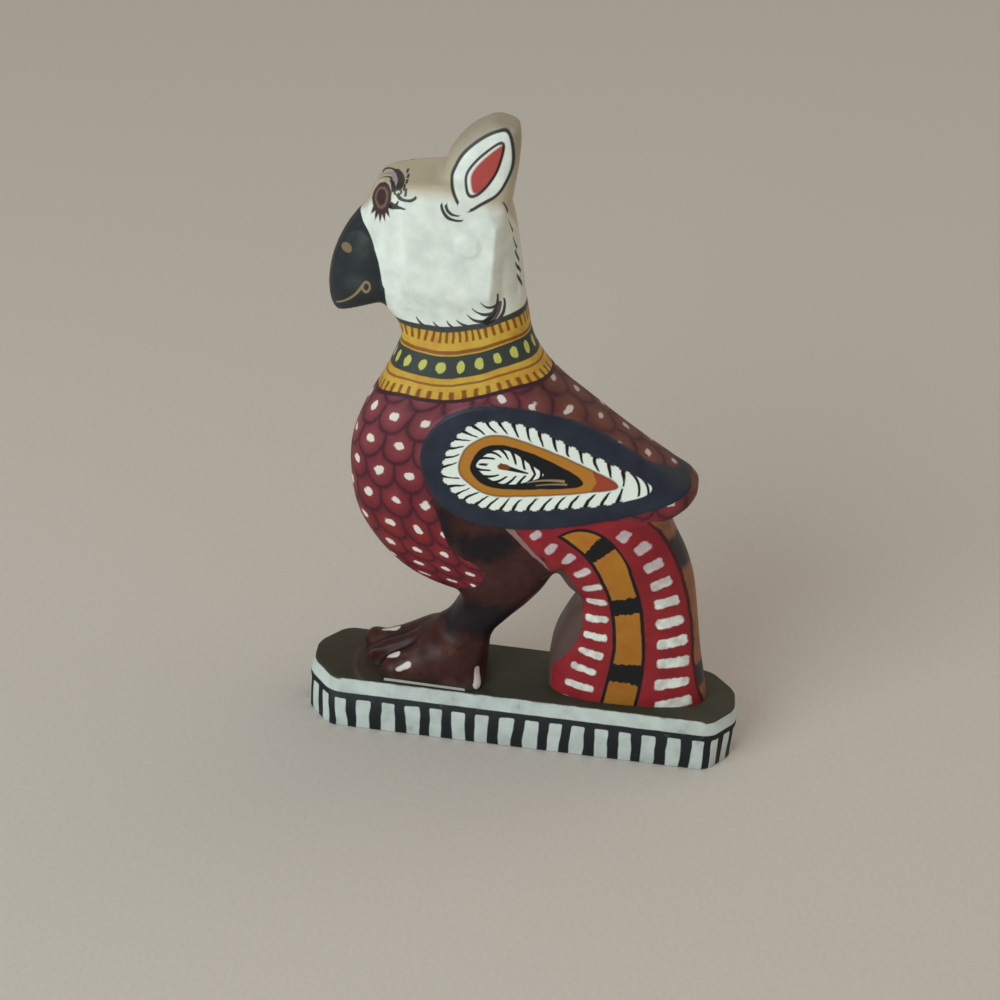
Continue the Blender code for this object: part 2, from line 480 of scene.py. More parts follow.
def from_nose(places, corners):
    """How far round a ring each place is, in mm, from the ring's first corner either way."""
    line = smooth_curve(corners, True)
    whole = np.hypot(*np.diff(line, axis=0).T).sum()
    down = along_line(places, line)[1]
    return np.minimum(down, whole - down) * SHARE_MM


def eased(values, start, end):
    """0 before start, 1 after end, and smooth between."""
    t = np.clip((values - start) / (end - start), 0, 1)
    return t * t * (3 - 2 * t)


def round_section(sideways, forward, half, depth):
    """The way round an oval section from its front, in mm: the table turns angles into lengths."""
    angles = np.linspace(0, math.pi, SECTION_STEPS)
    pieces = np.hypot(half * np.cos(angles), depth * np.sin(angles))
    lengths = np.concatenate([[0], np.cumsum((pieces[1:] + pieces[:-1]) / 2 * np.diff(angles))])
    return np.interp(np.arctan2(sideways / half, forward / depth), angles, lengths)


# Meshes.


def points_of(mesh):
    points = np.empty(len(mesh.vertices) * 3)
    mesh.vertices.foreach_get("co", points)
    return points.reshape(-1, 3)


def facing(mesh):
    """The way each vertex faces."""
    normals = np.empty(len(mesh.vertices) * 3)
    mesh.vertex_normals.foreach_get("vector", normals)
    return normals.reshape(-1, 3)


def set_points(mesh, points):
    mesh.vertices.foreach_set("co", points.ravel())
    mesh.update()


def store(mesh, name, values):
    """Keeps a number for each vertex, for the paint to read."""
    kept = mesh.attributes.new(name, "FLOAT", "POINT")
    kept.data.foreach_set("value", values.astype(np.float32))


def object_of(mesh, name):
    made = bpy.data.objects.new(name, mesh)
    bpy.context.scene.collection.objects.link(made)
    return made


def fine_skin(node):
    """The solid's bird above the ground, closed just under it, as one fine and even mesh."""
    shape = bmesh.new()
    shape.from_mesh(node.data)
    bmesh.ops.remove_doubles(shape, verts=shape.verts, dist=WELD)
    everything = shape.verts[:] + shape.edges[:] + shape.faces[:]
    bmesh.ops.bisect_plane(
        shape,
        geom=everything,
        plane_co=(0, 0, GROUND + CUT_ABOVE_GROUND),
        plane_no=(0, 0, 1),
        clear_inner=True,
    )
    rim = [edge for edge in shape.edges if edge.is_boundary]
    lowered = bmesh.ops.extrude_edge_only(shape, edges=rim)["geom"]
    corners = [part for part in lowered if isinstance(part, bmesh.types.BMVert)]
    bmesh.ops.translate(shape, verts=corners, vec=(0, 0, -FOOTING))
    bmesh.ops.holes_fill(shape, edges=[edge for edge in shape.edges if edge.is_boundary], sides=0)
    rough = bpy.data.meshes.new("rough_bird")
    shape.to_mesh(rough)
    shape.free()
    block = object_of(rough, "rough_bird")
    grid = block.modifiers.new("grid", "REMESH")
    grid.mode = "VOXEL"
    grid.voxel_size = SKIN_GRID
    skin = bpy.data.meshes.new_from_object(block.evaluated_get(bpy.context.evaluated_depsgraph_get()))
    bpy.data.objects.remove(block, do_unlink=True)
    return skin


def evened(mesh, points, strength):
    """Takes the flats of the coarse solid out of the skin without shrinking it."""
    edges = np.empty(len(mesh.edges) * 2, np.int32)
    mesh.edges.foreach_get("vertices", edges)
    first, second = edges.reshape(-1, 2).T
    count = len(points)
    shared = np.bincount(edges, minlength=count)
    for _ in range(SMOOTH_ROUNDS):
        for amount in SMOOTHING:
            sums = [
                np.bincount(first, points[second, axis], count)
                + np.bincount(second, points[first, axis], count)
                for axis in range(3)
            ]
            middle = np.stack(sums, axis=-1) / shared[:, None]
            points = points + amount * strength[:, None] * (middle - points)
    return points


def shares_of(points):
    """Each point's place in shares: back from the bird's zero line, and up from the ground."""
    return np.stack([points[:, 1] - BIRD_SETBACK, points[:, 2] - GROUND], axis=-1) / SHARE


def carve_head(points):
    """Cuts the head's facets, with a faint round knot under the paint of each cheek."""
    back, up = shares_of(points).T
    sideways = np.abs(points[:, 0]) / MM
    front_edge = FRONT_EDGE[0] + FRONT_EDGE_LEAN * (up - FRONT_EDGE[1])
    facets = np.minimum(
        HEAD_SIDE - FRONT_TURN * (front_edge - back) * SHARE_MM,
        HEAD_SIDE - REAR_TURN * (back - REAR_EDGE) * SHARE_MM,
    )
    facets = np.minimum(facets, HEAD_SIDE)
    amount = eased(up, *FACET_LOW) * eased(up, *FACET_HIGH) * eased(sideways, *FACET_FROM_MIDDLE)
    carved = sideways + amount * np.clip(facets - sideways, -FACET_DEEPEST, FACET_DEEPEST)
    knot = np.hypot(back - CHEEK_KNOT[0], up - CHEEK_KNOT[1]) * SHARE_MM
    raised = eased(knot, CHEEK_KNOT_RADIUS, CHEEK_KNOT_RADIUS - CHEEK_KNOT_EDGE)
    carved += CHEEK_KNOT_HEIGHT * amount * raised
    points[:, 0] = np.sign(points[:, 0]) * carved * MM
    return points


def front_foot(points):
    """How much each point belongs to the front of the foot: 0 or 1, and smooth between."""
    back, up = shares_of(points).T
    return eased(back, *TOES_FROM) * eased(up, *TOES_UNDER)


def spread_toes(points):
    """Brings the toes to where the nails are in the photo, which stand less evenly than the solid's."""
    amount = front_foot(points)
    sideways = points[:, 0] / MM
    points[:, 0] += amount * np.interp(sideways, TOES_AT, TOES_SIDEWAYS) * MM
    points[:, 1] += amount * np.interp(sideways, TOES_AT, TOES_BACK) * SHARE
    return points


def toe_grooves(points):
    """How deep in a groove between two toes each point is, from 0 to 1."""
    places = np.stack([points[:, 0] / MM, shares_of(points)[:, 0] * SHARE_MM], axis=-1)
    deepest = np.zeros(len(points))
    for ends in GROOVES:
        line = np.array(ends) * (1, SHARE_MM)
        gap, down, _ = along_line(places, line)
        shallower = 1 - down / np.hypot(*(line[1] - line[0]))
        section = np.exp(-((gap / GROOVE_WIDTH) ** 2))
        deepest = np.maximum(deepest, section * np.sqrt(np.maximum(shallower, 0)))
    return deepest * front_foot(points)


def carve_wing(points):
    """Lays the wing's relief on the flanks with a clean rounded edge."""
    depth = depth_inside(shares_of(points), WING)
    flank = np.clip(np.abs(points[:, 0]) / MM / WING_FADE, 0, 1)
    points[:, 0] += np.sign(points[:, 0]) * WING_RELIEF * flank * eased(depth, -WING_EDGE / 2, WING_EDGE / 2)
    return points


def uncarve_wing(points):
    """Takes off the coarse relief that the solid has."""
    depth = depth_inside(shares_of(points), WING)
    flank = np.clip(np.abs(points[:, 0]) / MM / WING_FADE, 0, 1)
    step = np.clip(depth / SOLID_WING_EDGE + 0.5, 0, 1)
    points[:, 0] -= np.sign(points[:, 0]) * WING_RELIEF * flank * step
    return points


def bird_mesh():
    """The bird's fine skin with the carving that is too fine for the solid, kept inside the solid's box."""
    mesh = fine_skin(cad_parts[FIGURINE])
    points = uncarve_wing(points_of(mesh))
    up = shares_of(points)[:, 1]
    strength = FOOT_SMOOTHING + (1 - FOOT_SMOOTHING) * eased(up, *FOOT_SMOOTHING_END)
    points = evened(mesh, points, strength)
    points = carve_wing(carve_head(points))
    points = spread_toes(points)
    set_points(mesh, points)
    points = points - facing(mesh) * (GROOVE_DEPTH * MM * toe_grooves(points))[:, None]
    low, high = (np.array(corner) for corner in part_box(FIGURINE))
    set_points(mesh, np.clip(points, low, high))
    mesh.shade_smooth()
    return mesh


def store_places(mesh, points, places, sideways):
    """Where each place is, and its height measured round the brow from the near side."""
    back, up = places.T
    near_side = points[:, 0] / MM
    from_brow = BROW_FROM - np.where(near_side > FAR_BROW_END, near_side, sideways)
    store(mesh, "back", back)
    store(mesh, "up", up)
    store(mesh, "sideways", sideways)
    store(mesh, "brow_up", up + from_brow / SHARE_MM)
    store(mesh, "topside", facing(mesh) @ TOPSIDE)


def store_outlines(mesh, places):
    """How deep each place is inside the outlines of the wing, the crest and the leg. Band is how far across
    the white ring it is, from 0 to 1, and barbs how far round a ring."""
    rings = {
        "feather": FEATHER_RING,
        "ochre": OCHRE_RING,
        "black": BLACK_RING,
        "almond": ALMOND_RING,
        "crest": CREST_RING,
        "crest_almond": CREST_ALMOND,
        "crest_red": CREST_RED_LEAF,
        "wing": WING,
        "leg": LEG_EDGE,
    }
    depths = {name: depth_inside(places, ring) for name, ring in rings.items()}
    for name, depth in depths.items():
        store(mesh, name, depth)
    ring_width = np.maximum(depths["feather"] - depths["ochre"], THINNEST_RING)
    store(mesh, "band", np.clip(depths["feather"] / ring_width, 0, 1))
    store(mesh, "barbs", from_nose(places, FEATHER_RING))
    store(mesh, "almond_barbs", from_nose(places, ALMOND_RING))
    patches = [depth_inside(places, patch) for patch in (*THIGH_PATCHES, ANKLE_BAND)]
    store(mesh, "leg_patches", np.max(patches, axis=0))


def store_tail(mesh, places):
    """How far each place is from the lines down the tail, and how far down its rows."""
    for name, line in TAIL_LINES.items():
        gap, _, side = along_line(places, smooth_curve(line, False))
        store(mesh, name, gap * side * SHARE_MM)
    for name, line in TAIL_ROWS.items():
        gap, down, side = along_line(places, smooth_curve(line, False))
        store(mesh, name, gap * side * SHARE_MM)
        store(mesh, name + "_run", down * SHARE_MM)


def store_collar_and_beak(mesh, back, up):
    """How high on the collar each place is, from 0 to 1, and how far inside the beak."""
    bottom = np.interp(back, *smooth_curve(COLLAR_BOTTOM, False).T)
    top = np.interp(back, *smooth_curve(COLLAR_TOP, False).T)
    collar = (up - bottom) / (top - bottom)
    collar[(back < BEAK_BEHIND) & (up > BEAK_ABOVE)] = OVER_COLLAR
    store(mesh, "collar", collar)
    beak_line = smooth_curve(BEAK_EDGE, False)
    beak = (np.interp(up, beak_line[:, 1], beak_line[:, 0]) - back) * SHARE_MM
    beak[up < BEAK_ABOVE] = FAR_AWAY
    store(mesh, "beak", beak)


def store_breast(mesh, places, sideways):
    """How far round the breast and how far down it each place is, for the scales."""
    back, up = places.T
    levels = np.arange(*FRONT_LEVELS)
    front = np.array([back[np.abs(up - level) < FRONT_LEVEL_HALF].min() for level in levels])
    middle = np.interp(up, levels, front) + BREAST_DEPTH
    forward = np.maximum(middle - back, 0) * SHARE_MM
    round_breast = round_section(sideways, forward, BREAST_HALF, BREAST_DEPTH * SHARE_MM)
    round_breast += np.maximum(back - middle, 0) * SHARE_MM
    down = (SCALES_TOP - up + BELLY_STRETCH * np.maximum(BELLY_TURN - up, 0) ** 2) * SHARE_MM
    steps = places - BACK_RIDGE
    round_back = sideways + np.maximum(steps @ BACK_UNDER, 0) * SHARE_MM
    on_back = (back > BACK_FROM) & (up > BACK_ABOVE)
    store(mesh, "round_breast", np.where(on_back, round_back, round_breast))
    store(mesh, "down_breast", np.where(on_back, steps @ BACK_SLOPE * SHARE_MM, down))


def store_neck(mesh, places, sideways):
    """How far round the neck each place is, for the collar."""
    back, up = places.T
    front, rear = np.interp(up, *NECK_FRONT), np.interp(up, *NECK_REAR)
    forward = ((front + rear) / 2 - back) / ((rear - front) / 2)
    store(mesh, "round_neck", round_section(sideways, forward * NECK_DEPTH, NECK_HALF, NECK_DEPTH))


def store_nails(mesh, points, places):
    """How far inside the nearest nail each place is."""
    spots = np.column_stack([points[:, 0] / MM, places * SHARE_MM])
    nails = []
    for start, end, start_half, end_half in NAILS:
        start, end = (np.array(place) * (1, SHARE_MM, SHARE_MM) for place in (start, end))
        step = end - start
        t = np.clip((spots - start) @ step / (step @ step), 0, 1)
        gap = np.linalg.norm(spots - start - t[:, None] * step, axis=1)
        nails.append(start_half + t * (end_half - start_half) - gap)
    store(mesh, "nails", np.max(nails, axis=0))


def store_fields(mesh):
    """What the paint needs to know of each place on the bird. Depths and lengths are in mm."""
    points = points_of(mesh)
    places = shares_of(points)
    sideways = np.abs(points[:, 0]) / MM
    store_places(mesh, points, places, sideways)
    store_outlines(mesh, places)
    store_tail(mesh, places)
    store_collar_and_beak(mesh, *places.T)
    store_breast(mesh, places, sideways)
    store_neck(mesh, places, sideways)
    store_nails(mesh, points, places)
    store(mesh, "grooves", toe_grooves(points))


def plinth_outline(inset):
    """The plinth's eight corners, an oblong with its corners cut off, drawn in by inset."""
    half_x = PLINTH_WIDTH / 2 - inset
    half_y = PLINTH_LENGTH / 2 - inset
    corners = []
    for side_x, side_y, end_first in PLINTH_CORNERS:
        at_end = (side_x * (half_x - PLINTH_CORNER_WIDTH), side_y * half_y)
        at_side = (side_x * half_x, side_y * (half_y - PLINTH_CORNER_LENGTH))
        corners += [at_end, at_side] if end_first else [at_side, at_end]
    return corners


def plinth_block():
    """The plinth's outline drawn up, with a sloping edge above."""
    shape = bmesh.new()
    base = [shape.verts.new((x, y, 0)) for x, y in plinth_outline(0)]
    floor = shape.faces.new(base)
    for height, inset in ((GROUND - PLINTH_SLOPE_HEIGHT, 0), (GROUND, PLINTH_SLOPE_INSET)):
        raised = bmesh.ops.extrude_face_region(shape, geom=[floor])["geom"]
        floor = [part for part in raised if isinstance(part, bmesh.types.BMFace)][0]
        for corner, (x, y) in zip(floor.verts, plinth_outline(inset)):
            corner.co = (x, y, height)
    return shape


def bevelled(shape, edges, width, segments):
    bmesh.ops.bevel(
        shape,
        geom=edges,
        offset=width,
        segments=segments,
        profile=0.5,
        affect="EDGES",
        material=-1,
        clamp_overlap=True,
    )


def plinth_mesh():
    """The plinth with every edge a little rounded, and its upright corners more."""
    shape = plinth_block()
    upright = [edge for edge in shape.edges if abs(edge.verts[0].co.z - edge.verts[1].co.z) > MM]
    bevelled(shape, upright, PLINTH_CORNER_ROUNDING, PLINTH_CORNER_SEGMENTS)
    level = [
        edge
        for edge in shape.edges
        if abs(edge.verts[0].co.z - edge.verts[1].co.z) < MM and edge.calc_face_angle(0.0) > SHARP_ANGLE
    ]
    bevelled(shape, level, PLINTH_EDGE_ROUNDING, PLINTH_EDGE_SEGMENTS)
    bmesh.ops.recalc_face_normals(shape, faces=shape.faces)
    mesh = bpy.data.meshes.new("plinth")
    shape.to_mesh(mesh)
    shape.free()
    mesh.shade_smooth()
    return mesh


# Paint. A wobble, a drift, brushwork and hollows have the size of their patches in mm, how far they push,
# and some also how fine they are. Patches have their size, and some how fine they are. Spots and smudges have their
# size, how fine they are, where they start and are full, and their strength. A part is where a colour
# starts and where it is full. A wobble of one number is how much of the piece's own wobble it takes.

GLOSS = 0.22
EDGE_SOFTNESS = 0.22
MARK_OVERLAP = 0.12
MOTTLING = (-0.15, 0.2)


def tone(red, green, blue):
    """A mixed paint's colour from the usual 0 to 255 numbers, by a screen's own curve."""
    mixed = []
    for part in (red, green, blue):
        part /= 255
        mixed.append(part / 12.92 if part <= 0.04045 else ((part + 0.055) / 1.055) ** 2.4)
    return (*mixed, 1.0)


WHITE = tone(226, 234, 226)
WHITE_SHADE = tone(206, 214, 208)
INK = tone(24, 24, 28)
# The crown, the nape and the crest's rim are painted in these tans: painted shade where the head turns up and back,
# with some dirt.
SHADE_AND_DIRT_TAN = tone(176, 164, 140)
RIM_SHADE_AND_DIRT_TAN = tone(150, 140, 120)
SLATE = tone(40, 48, 47)
SLATE_DARK = tone(35, 40, 44)
NOSTRIL_TAN = tone(122, 101, 77)
MOUTH_TAN = tone(140, 120, 88)
LILAC = tone(158, 148, 154)
EYE_BROWN = tone(66, 46, 44)
EYE_PINK = tone(150, 118, 112)
PUPIL_BROWN = tone(58, 40, 40)
CREST_RED = tone(168, 70, 66)
CRESCENT_MAUVE = tone(92, 70, 78)
YELLOW = tone(196, 164, 66)
YELLOW_DARK = tone(186, 136, 48)
YELLOW_DOT = tone(184, 186, 96)
COLLAR_GREEN = tone(56, 62, 58)
COLLAR_LINE = tone(58, 30, 40)
TICK_BROWN = tone(120, 62, 24)
BREAST_RED = tone(134, 44, 44)
BREAST_DARK_RED = tone(110, 28, 40)
BREAST_MAUVE = tone(130, 78, 88)
BREAST_LINE = tone(58, 22, 38)
# The browner red on faces turned up and back is painted shade.
BACK_SHADE_BROWN = tone(104, 62, 50)
SCALE_DOT_WHITE = tone(216, 212, 206)
NAVY = tone(42, 48, 62)
NAVY_DARK = tone(34, 38, 52)
OCHRE = tone(174, 118, 38)
OCHRE_DARK = tone(168, 104, 40)
# The ochre's darker tone low on the tail is painted shade.
OCHRE_LOW_SHADE = tone(136, 88, 30)
OCHRE_LINE = tone(96, 56, 30)
WING_OCHRE = tone(176, 116, 48)
TIP_RED = tone(154, 66, 46)
STREAK_TAN = tone(150, 130, 96)
TAIL_RED = tone(142, 38, 44)
TAIL_DARK_RED = tone(128, 30, 40)
# TAIL_FACE, TAIL_EDGE_BROWN and ORANGE_BROWN are set darker than their paint: painted shade, as the light grows
# weaker towards the ground.
TAIL_FACE = tone(84, 66, 62)
TAIL_EDGE_BROWN = tone(114, 76, 62)
TAIL_EDGE_DARK = tone(52, 50, 52)
TAIL_EDGE_LINE = tone(70, 26, 34)
ORANGE_BROWN = tone(150, 98, 62)
DASH_GREY = tone(190, 186, 180)
DASH_MAUVE = tone(178, 150, 160)
# LEG_BROWN, LEG_INK and FOOT_BROWN are set darker than their paint: painted shade, as the light grows weaker
# towards the ground.
LEG_BROWN = tone(64, 34, 33)
LEG_SHADE = tone(30, 22, 22)
LEG_INK = tone(20, 18, 25)
FOOT_BROWN = tone(52, 24, 20)
FOOT_SHADE = tone(40, 16, 18)
# The darker brown in the toes' grooves is painted shade.
GROOVE_SHADE_BROWN = tone(36, 14, 14)
# The lighter brown spots on the foot are painted highlight on the toes' ridges.
TOE_HIGHLIGHT_BROWN = tone(104, 62, 44)
MAUVE = tone(150, 118, 116)
NAIL_WHITE = tone(206, 200, 196)
PLINTH_WHITE = tone(190, 200, 197)
PLINTH_GREY = tone(168, 178, 174)
BLOCK_BLACK = tone(26, 30, 32)
SMUDGE_GREY = tone(120, 112, 120)
OLIVE = tone(62, 59, 48)
OLIVE_DARK = tone(48, 51, 41)
# On the plinth's top, the pale arc and the white line by the foot are painted highlight, and the darker green strip
# is painted shade.
RIDGE_HIGHLIGHT_TAN = tone(122, 118, 102)
GLAZE_BROWN = tone(60, 42, 36)
PAINTED_SHADE_GREEN = tone(30, 42, 36)
HIGHLIGHT_WHITE = tone(206, 206, 196)
FLOOR_PALE = tone(202, 197, 192)
FLOOR_SHADE = tone(197, 192, 186)


class Field:
    """A number, a colour or a coat that changes over the surface, with arithmetic that adds its nodes."""

    def __init__(self, board, socket):
        self.board = board
        self.socket = socket

    def math(self, operation, *others, clamp=False):
        settings = {"operation": operation, "use_clamp": clamp}
        return self.board.node("ShaderNodeMath", settings, dict(enumerate((self, *others))))

    def __add__(self, other):
        return self.math("ADD", other)

    __radd__ = __add__

    def __sub__(self, other):
        return self.math("SUBTRACT", other)

    def __rsub__(self, other):
        return self.math("MULTIPLY_ADD", -1.0, other)

    def __mul__(self, other):
        return self.math("MULTIPLY", other)

    __rmul__ = __mul__

    def __truediv__(self, other):
        return self.math("DIVIDE", other)

    def __neg__(self):
        return self * -1.0

    def __abs__(self):
        return self.math("ABSOLUTE")

    def __and__(self, other):
        """The lesser of two: inside both."""
        return self.math("MINIMUM", other)

    def __or__(self, other):
        """The greater of two: inside either."""
        return self.math("MAXIMUM", other)

    def part(self):
        """What is left over a whole number."""
        return self.math("FRACT")

    def whole(self):
        return self.math("FLOOR")

    def ease(self, start, end):
        """0 at start, 1 at end, straight between."""
        width = end - start
        return self.math("MULTIPLY_ADD", 1 / width, -start / width, clamp=True)

    def repeated(self, pitch, start=0.0):
        """How far a place is from the nearest of a row of marks, one every pitch."""
        return abs(((self - start) / pitch).part() - 0.5) * pitch


def length(first, second):
    """The length of a step with these two parts."""
    return second.math("MULTIPLY_ADD", second, first * first).math("SQRT")


class Board:
    """A material being mixed: one method adds every kind of node."""

    def __init__(self, name):
        self.material = bpy.data.materials.new(name)
        self.material.use_nodes = True
        self.tree = self.material.node_tree
        self.tree.nodes.remove(self.tree.nodes["Principled BSDF"])

    def feed(self, socket, value):
        if isinstance(value, Field):
            self.tree.links.new(value.socket, socket)
        else:
            socket.default_value = value

    def node(self, kind, settings, sockets, out=0):
        made = self.tree.nodes.new(kind)
        for name, value in settings.items():
            setattr(made, name, value)
        for place, value in sockets.items():
            self.feed(made.inputs[place], value)
        return Field(self, made.outputs[out])

    def field(self, name):
        """A number kept on the mesh."""
        return self.node("ShaderNodeAttribute", {"attribute_name": name}, {}, "Fac")

    def noise(self, size, detail=2.0):
        """Soft patches of about this size in mm, about 0 and mostly less than a quarter either way."""
        place = self.node("ShaderNodeTexCoord", {}, {}, "Object")
        sockets = {"Vector": place, "Scale": 1 / (size * MM), "Detail": detail}
        return self.node("ShaderNodeTexNoise", {}, sockets, "Fac") - 0.5

    def wander(self, size, amount, detail=2.0):
        """Soft patches that push an edge or a line to and fro by up to about a quarter of the amount."""
        return self.noise(size, detail) * amount

    def spots(self, size, detail, start, end, strength):
        """A mask of scattered spots, for a colour that is worked in here and there."""
        return self.noise(size, detail).ease(start, end) * strength

    def over(self, below, colour, mask):
        """One colour laid over another where the mask is 1."""
        return self.node("ShaderNodeMix", {"data_type": "RGBA"}, {0: mask, 6: below, 7: colour}, 2)

    def mottled(self, first, second, size, detail=3.0):
        """Two colours of paint worked into each other."""
        return self.over(first, second, self.noise(size, detail).ease(*MOTTLING))

    def coat(self, colour, roughness, normal):
        sockets = {
            "Base Color": colour,
            "Roughness": roughness,
            "Normal": normal,
            "Specular IOR Level": GLOSS,
        }
        return self.node("ShaderNodeBsdfPrincipled", {}, sockets)

    def cover(self, below, above, mask):
        """One coat over another where the mask is 1."""
        return self.node("ShaderNodeMixShader", {}, {0: mask, 1: below, 2: above})

    def brushed(self, height):
        """The surface's small rises and hollows: a height in mm."""
        return self.node("ShaderNodeBump", {}, {"Height": height, "Strength": 1.0, "Distance": MM})

    def finish(self, coat):
        self.feed(self.tree.nodes["Material Output"].inputs["Surface"], coat)
        return self.material


def inside(depth, softness=EDGE_SOFTNESS):
    """A crisp mask of where a depth in mm is more than 0."""
    return depth.ease(-softness / 2, softness / 2)


def near(distance, reach):
    """How far inside a band a place is, where distance is 0 along the band's middle."""
    return reach - abs(distance)


def ribbon(distance, middle, half):
    """How far inside a line or band a place is, from the band's middle and half width."""
    return near(distance - middle, half)


def any_of(depths):
    """How far inside the nearest of several marks a place is."""
    found, *others = depths
    for depth in others:
        found = found | depth
    return found


def brush_marks(back, up, marks):
    """How far inside the nearest brush mark a place is, in mm. A mark is drawn from its start through its
    middle to its end, all in shares, and is as wide to each side as its last two numbers say, in mm."""
    depths = []
    for start, middle, end, start_half, end_half in marks:
        start, middle, end = (np.array(place, float) for place in (start, middle, end))
        chord = end - start
        size = np.hypot(*chord)
        across, rise = (chord / size).tolist()
        bow = float((middle - (start + end) / 2) @ (-rise, across))
        t = back.math("MULTIPLY_ADD", across / size, float(-start @ chord) / size**2)
        t = up.math("MULTIPLY_ADD", rise / size, t)
        off = back.math("MULTIPLY_ADD", -rise, float(start @ (rise, -across)))
        off = up.math("MULTIPLY_ADD", across, off)
        off = t.math("MULTIPLY_ADD", -t, t).math("MULTIPLY_ADD", -4 * bow, off)
        half = t.math("MULTIPLY_ADD", (end_half - start_half) / SHARE_MM, start_half / SHARE_MM)
        ends = near(t - 0.5, 0.5 + MARK_OVERLAP / size) * size
        depths.append((half - abs(off)) & ends)
    return any_of(depths) * SHARE_MM


def oval(back, up, middle, half_back, half_up):
    """How far inside an oval a place in shares is, in mm."""
    round_it = length((back - middle[0]) / half_back, (up - middle[1]) / half_up)
    return (1 - round_it) * (min(half_back, half_up) * SHARE_MM)


# The breast and back.

SCALE_WIDE = 6.3
SCALE_TALL = 6.8
SCALE_OVERHANG = 0.62
SCALE_SIDE_FADE = 4.0
SCALE_DRIFT = (9.0, 2.4)
SCALE_LINE = 0.22
SCALE_LINE_WOBBLE = (2.5, 0.5)
SCALE_LINE_SOFTNESS = 0.6
SCALE_LINE_STRENGTH = 0.9
SCALE_SHADE_PART = (1.9, 0.0)
SCALE_SHADE_STRENGTH = 0.55
SCALE_DOT = 0.98
SCALE_DOT_PLACE = 0.98
SCALE_DOT_WOBBLE = (1.3, 1.3, 3.0)
SCALE_DOT_SOFTNESS = 0.3
TOP_DOTS_PART = (0.2, 0.7)
TOP_DOTS_SMALLER = 0.2
TOP_DOTS_SHADE_PART = (0.3, 0.9)
TOP_DOTS_SHADE_STRENGTH = 0.7
DOTS_ABOVE = 35.0
DOTS_BEFORE = -7.5
DOTS_END = 20.5
BREAST_PATCHES = 7.0
BREAST_MAUVE_PART = (42.0, 4.0)
BREAST_MAUVE_STRENGTH = 0.65
BACK_SHADE_PART = (0.15, 0.7)
BACK_SHADE_STRENGTH = 0.95
BACK_SCALES_EDGE = 0.35


def torso_paint(board, back, up):
    """Rows of rounded scales, each row half a scale along from the last, with a white dot in each scale."""
    drift = board.wander(*SCALE_DRIFT)
    along = (board.field("round_breast") + drift) / SCALE_WIDE
    down = board.field("down_breast")
    rows = (down - drift) / SCALE_TALL
    row = rows.whole()
    within = rows - row
    along = along + (row * 0.5).part()
    own = along.part() - 0.5
    above = (along + 0.5).part() - 0.5
    rim = (length(above * 2.0, within / SCALE_OVERHANG) - 1.0) * (SCALE_WIDE / 2)
    side = (0.5 - abs(own)) * SCALE_WIDE - (rim & 0.0) * SCALE_SIDE_FADE
    away = abs(rim) & side
    topside = board.field("topside")
    colour = board.mottled(BREAST_RED, BREAST_DARK_RED, BREAST_PATCHES)
    colour = board.over(colour, BREAST_MAUVE, down.ease(*BREAST_MAUVE_PART) * BREAST_MAUVE_STRENGTH)
    # Painted shade: the red turns browner where the surface faces up and back.
    colour = board.over(colour, BACK_SHADE_BROWN, topside.ease(*BACK_SHADE_PART) * BACK_SHADE_STRENGTH)
    colour = board.over(colour, BREAST_LINE, away.ease(*SCALE_SHADE_PART) * SCALE_SHADE_STRENGTH)
    line = SCALE_LINE - away + board.wander(*SCALE_LINE_WOBBLE)
    line = line | (near(back - BACK_FROM, BACK_SCALES_EDGE) & (up - BACK_ABOVE))
    colour = board.over(colour, BREAST_LINE, inside(line, SCALE_LINE_SOFTNESS) * SCALE_LINE_STRENGTH)
    own_dot = length(own * SCALE_WIDE, (within - SCALE_DOT_PLACE) * SCALE_TALL)
    above_dot = length(above * SCALE_WIDE, (within - (SCALE_DOT_PLACE - 1.0)) * SCALE_TALL)
    dot = SCALE_DOT - topside.ease(*TOP_DOTS_PART) * TOP_DOTS_SMALLER - (own_dot & above_dot)
    dot = dot + board.wander(*SCALE_DOT_WOBBLE)
    dot = dot & ((up - DOTS_ABOVE) | (DOTS_BEFORE - back)) & (DOTS_END - back)
    # Painted shade: the white dots turn mauve where the surface faces up and back.
    dot_shade = topside.ease(*TOP_DOTS_SHADE_PART) * TOP_DOTS_SHADE_STRENGTH
    dot_colour = board.over(SCALE_DOT_WHITE, DASH_MAUVE, dot_shade)
    return board.over(colour, dot_colour, inside(dot, SCALE_DOT_SOFTNESS))


# The leg.

LEG_PATCHES = 6.0
LEG_SPOTS = (2.0, 4.0, 0.05, 0.2, 0.6)
LEG_INK_WOBBLE = (2.4, 5.0, 4.0)
LEG_INK_SOFTNESS = 2.2
LEG_INK_STRENGTH = 0.92
LEG_MAUVE_EDGE = 1.6
LEG_MAUVE_WOBBLE = (2.5, 1.0)
LEG_MAUVE_STRENGTH = 0.8
FOOT_BELOW = 9.5
FOOT_BELOW_SOFTNESS = 3.0
TOE_HIGHLIGHT_SPOTS = (4.0, 3.0, 0.05, 0.25, 0.5)
FOOT_SPOTS = (2.2, 3.0, 0.0, 0.15, 0.5)
GROOVE_SHADE_PART = (0.1, 0.7)
GROOVE_SHADE_STRENGTH = 0.9
OLIVE_BELOW = 0.7
OLIVE_WOBBLE = (3.0, 1.2)
OLIVE_SOFTNESS = 1.0
OLIVE_STRENGTH = 0.8
NAIL_WOBBLE = (1.6, 0.4)


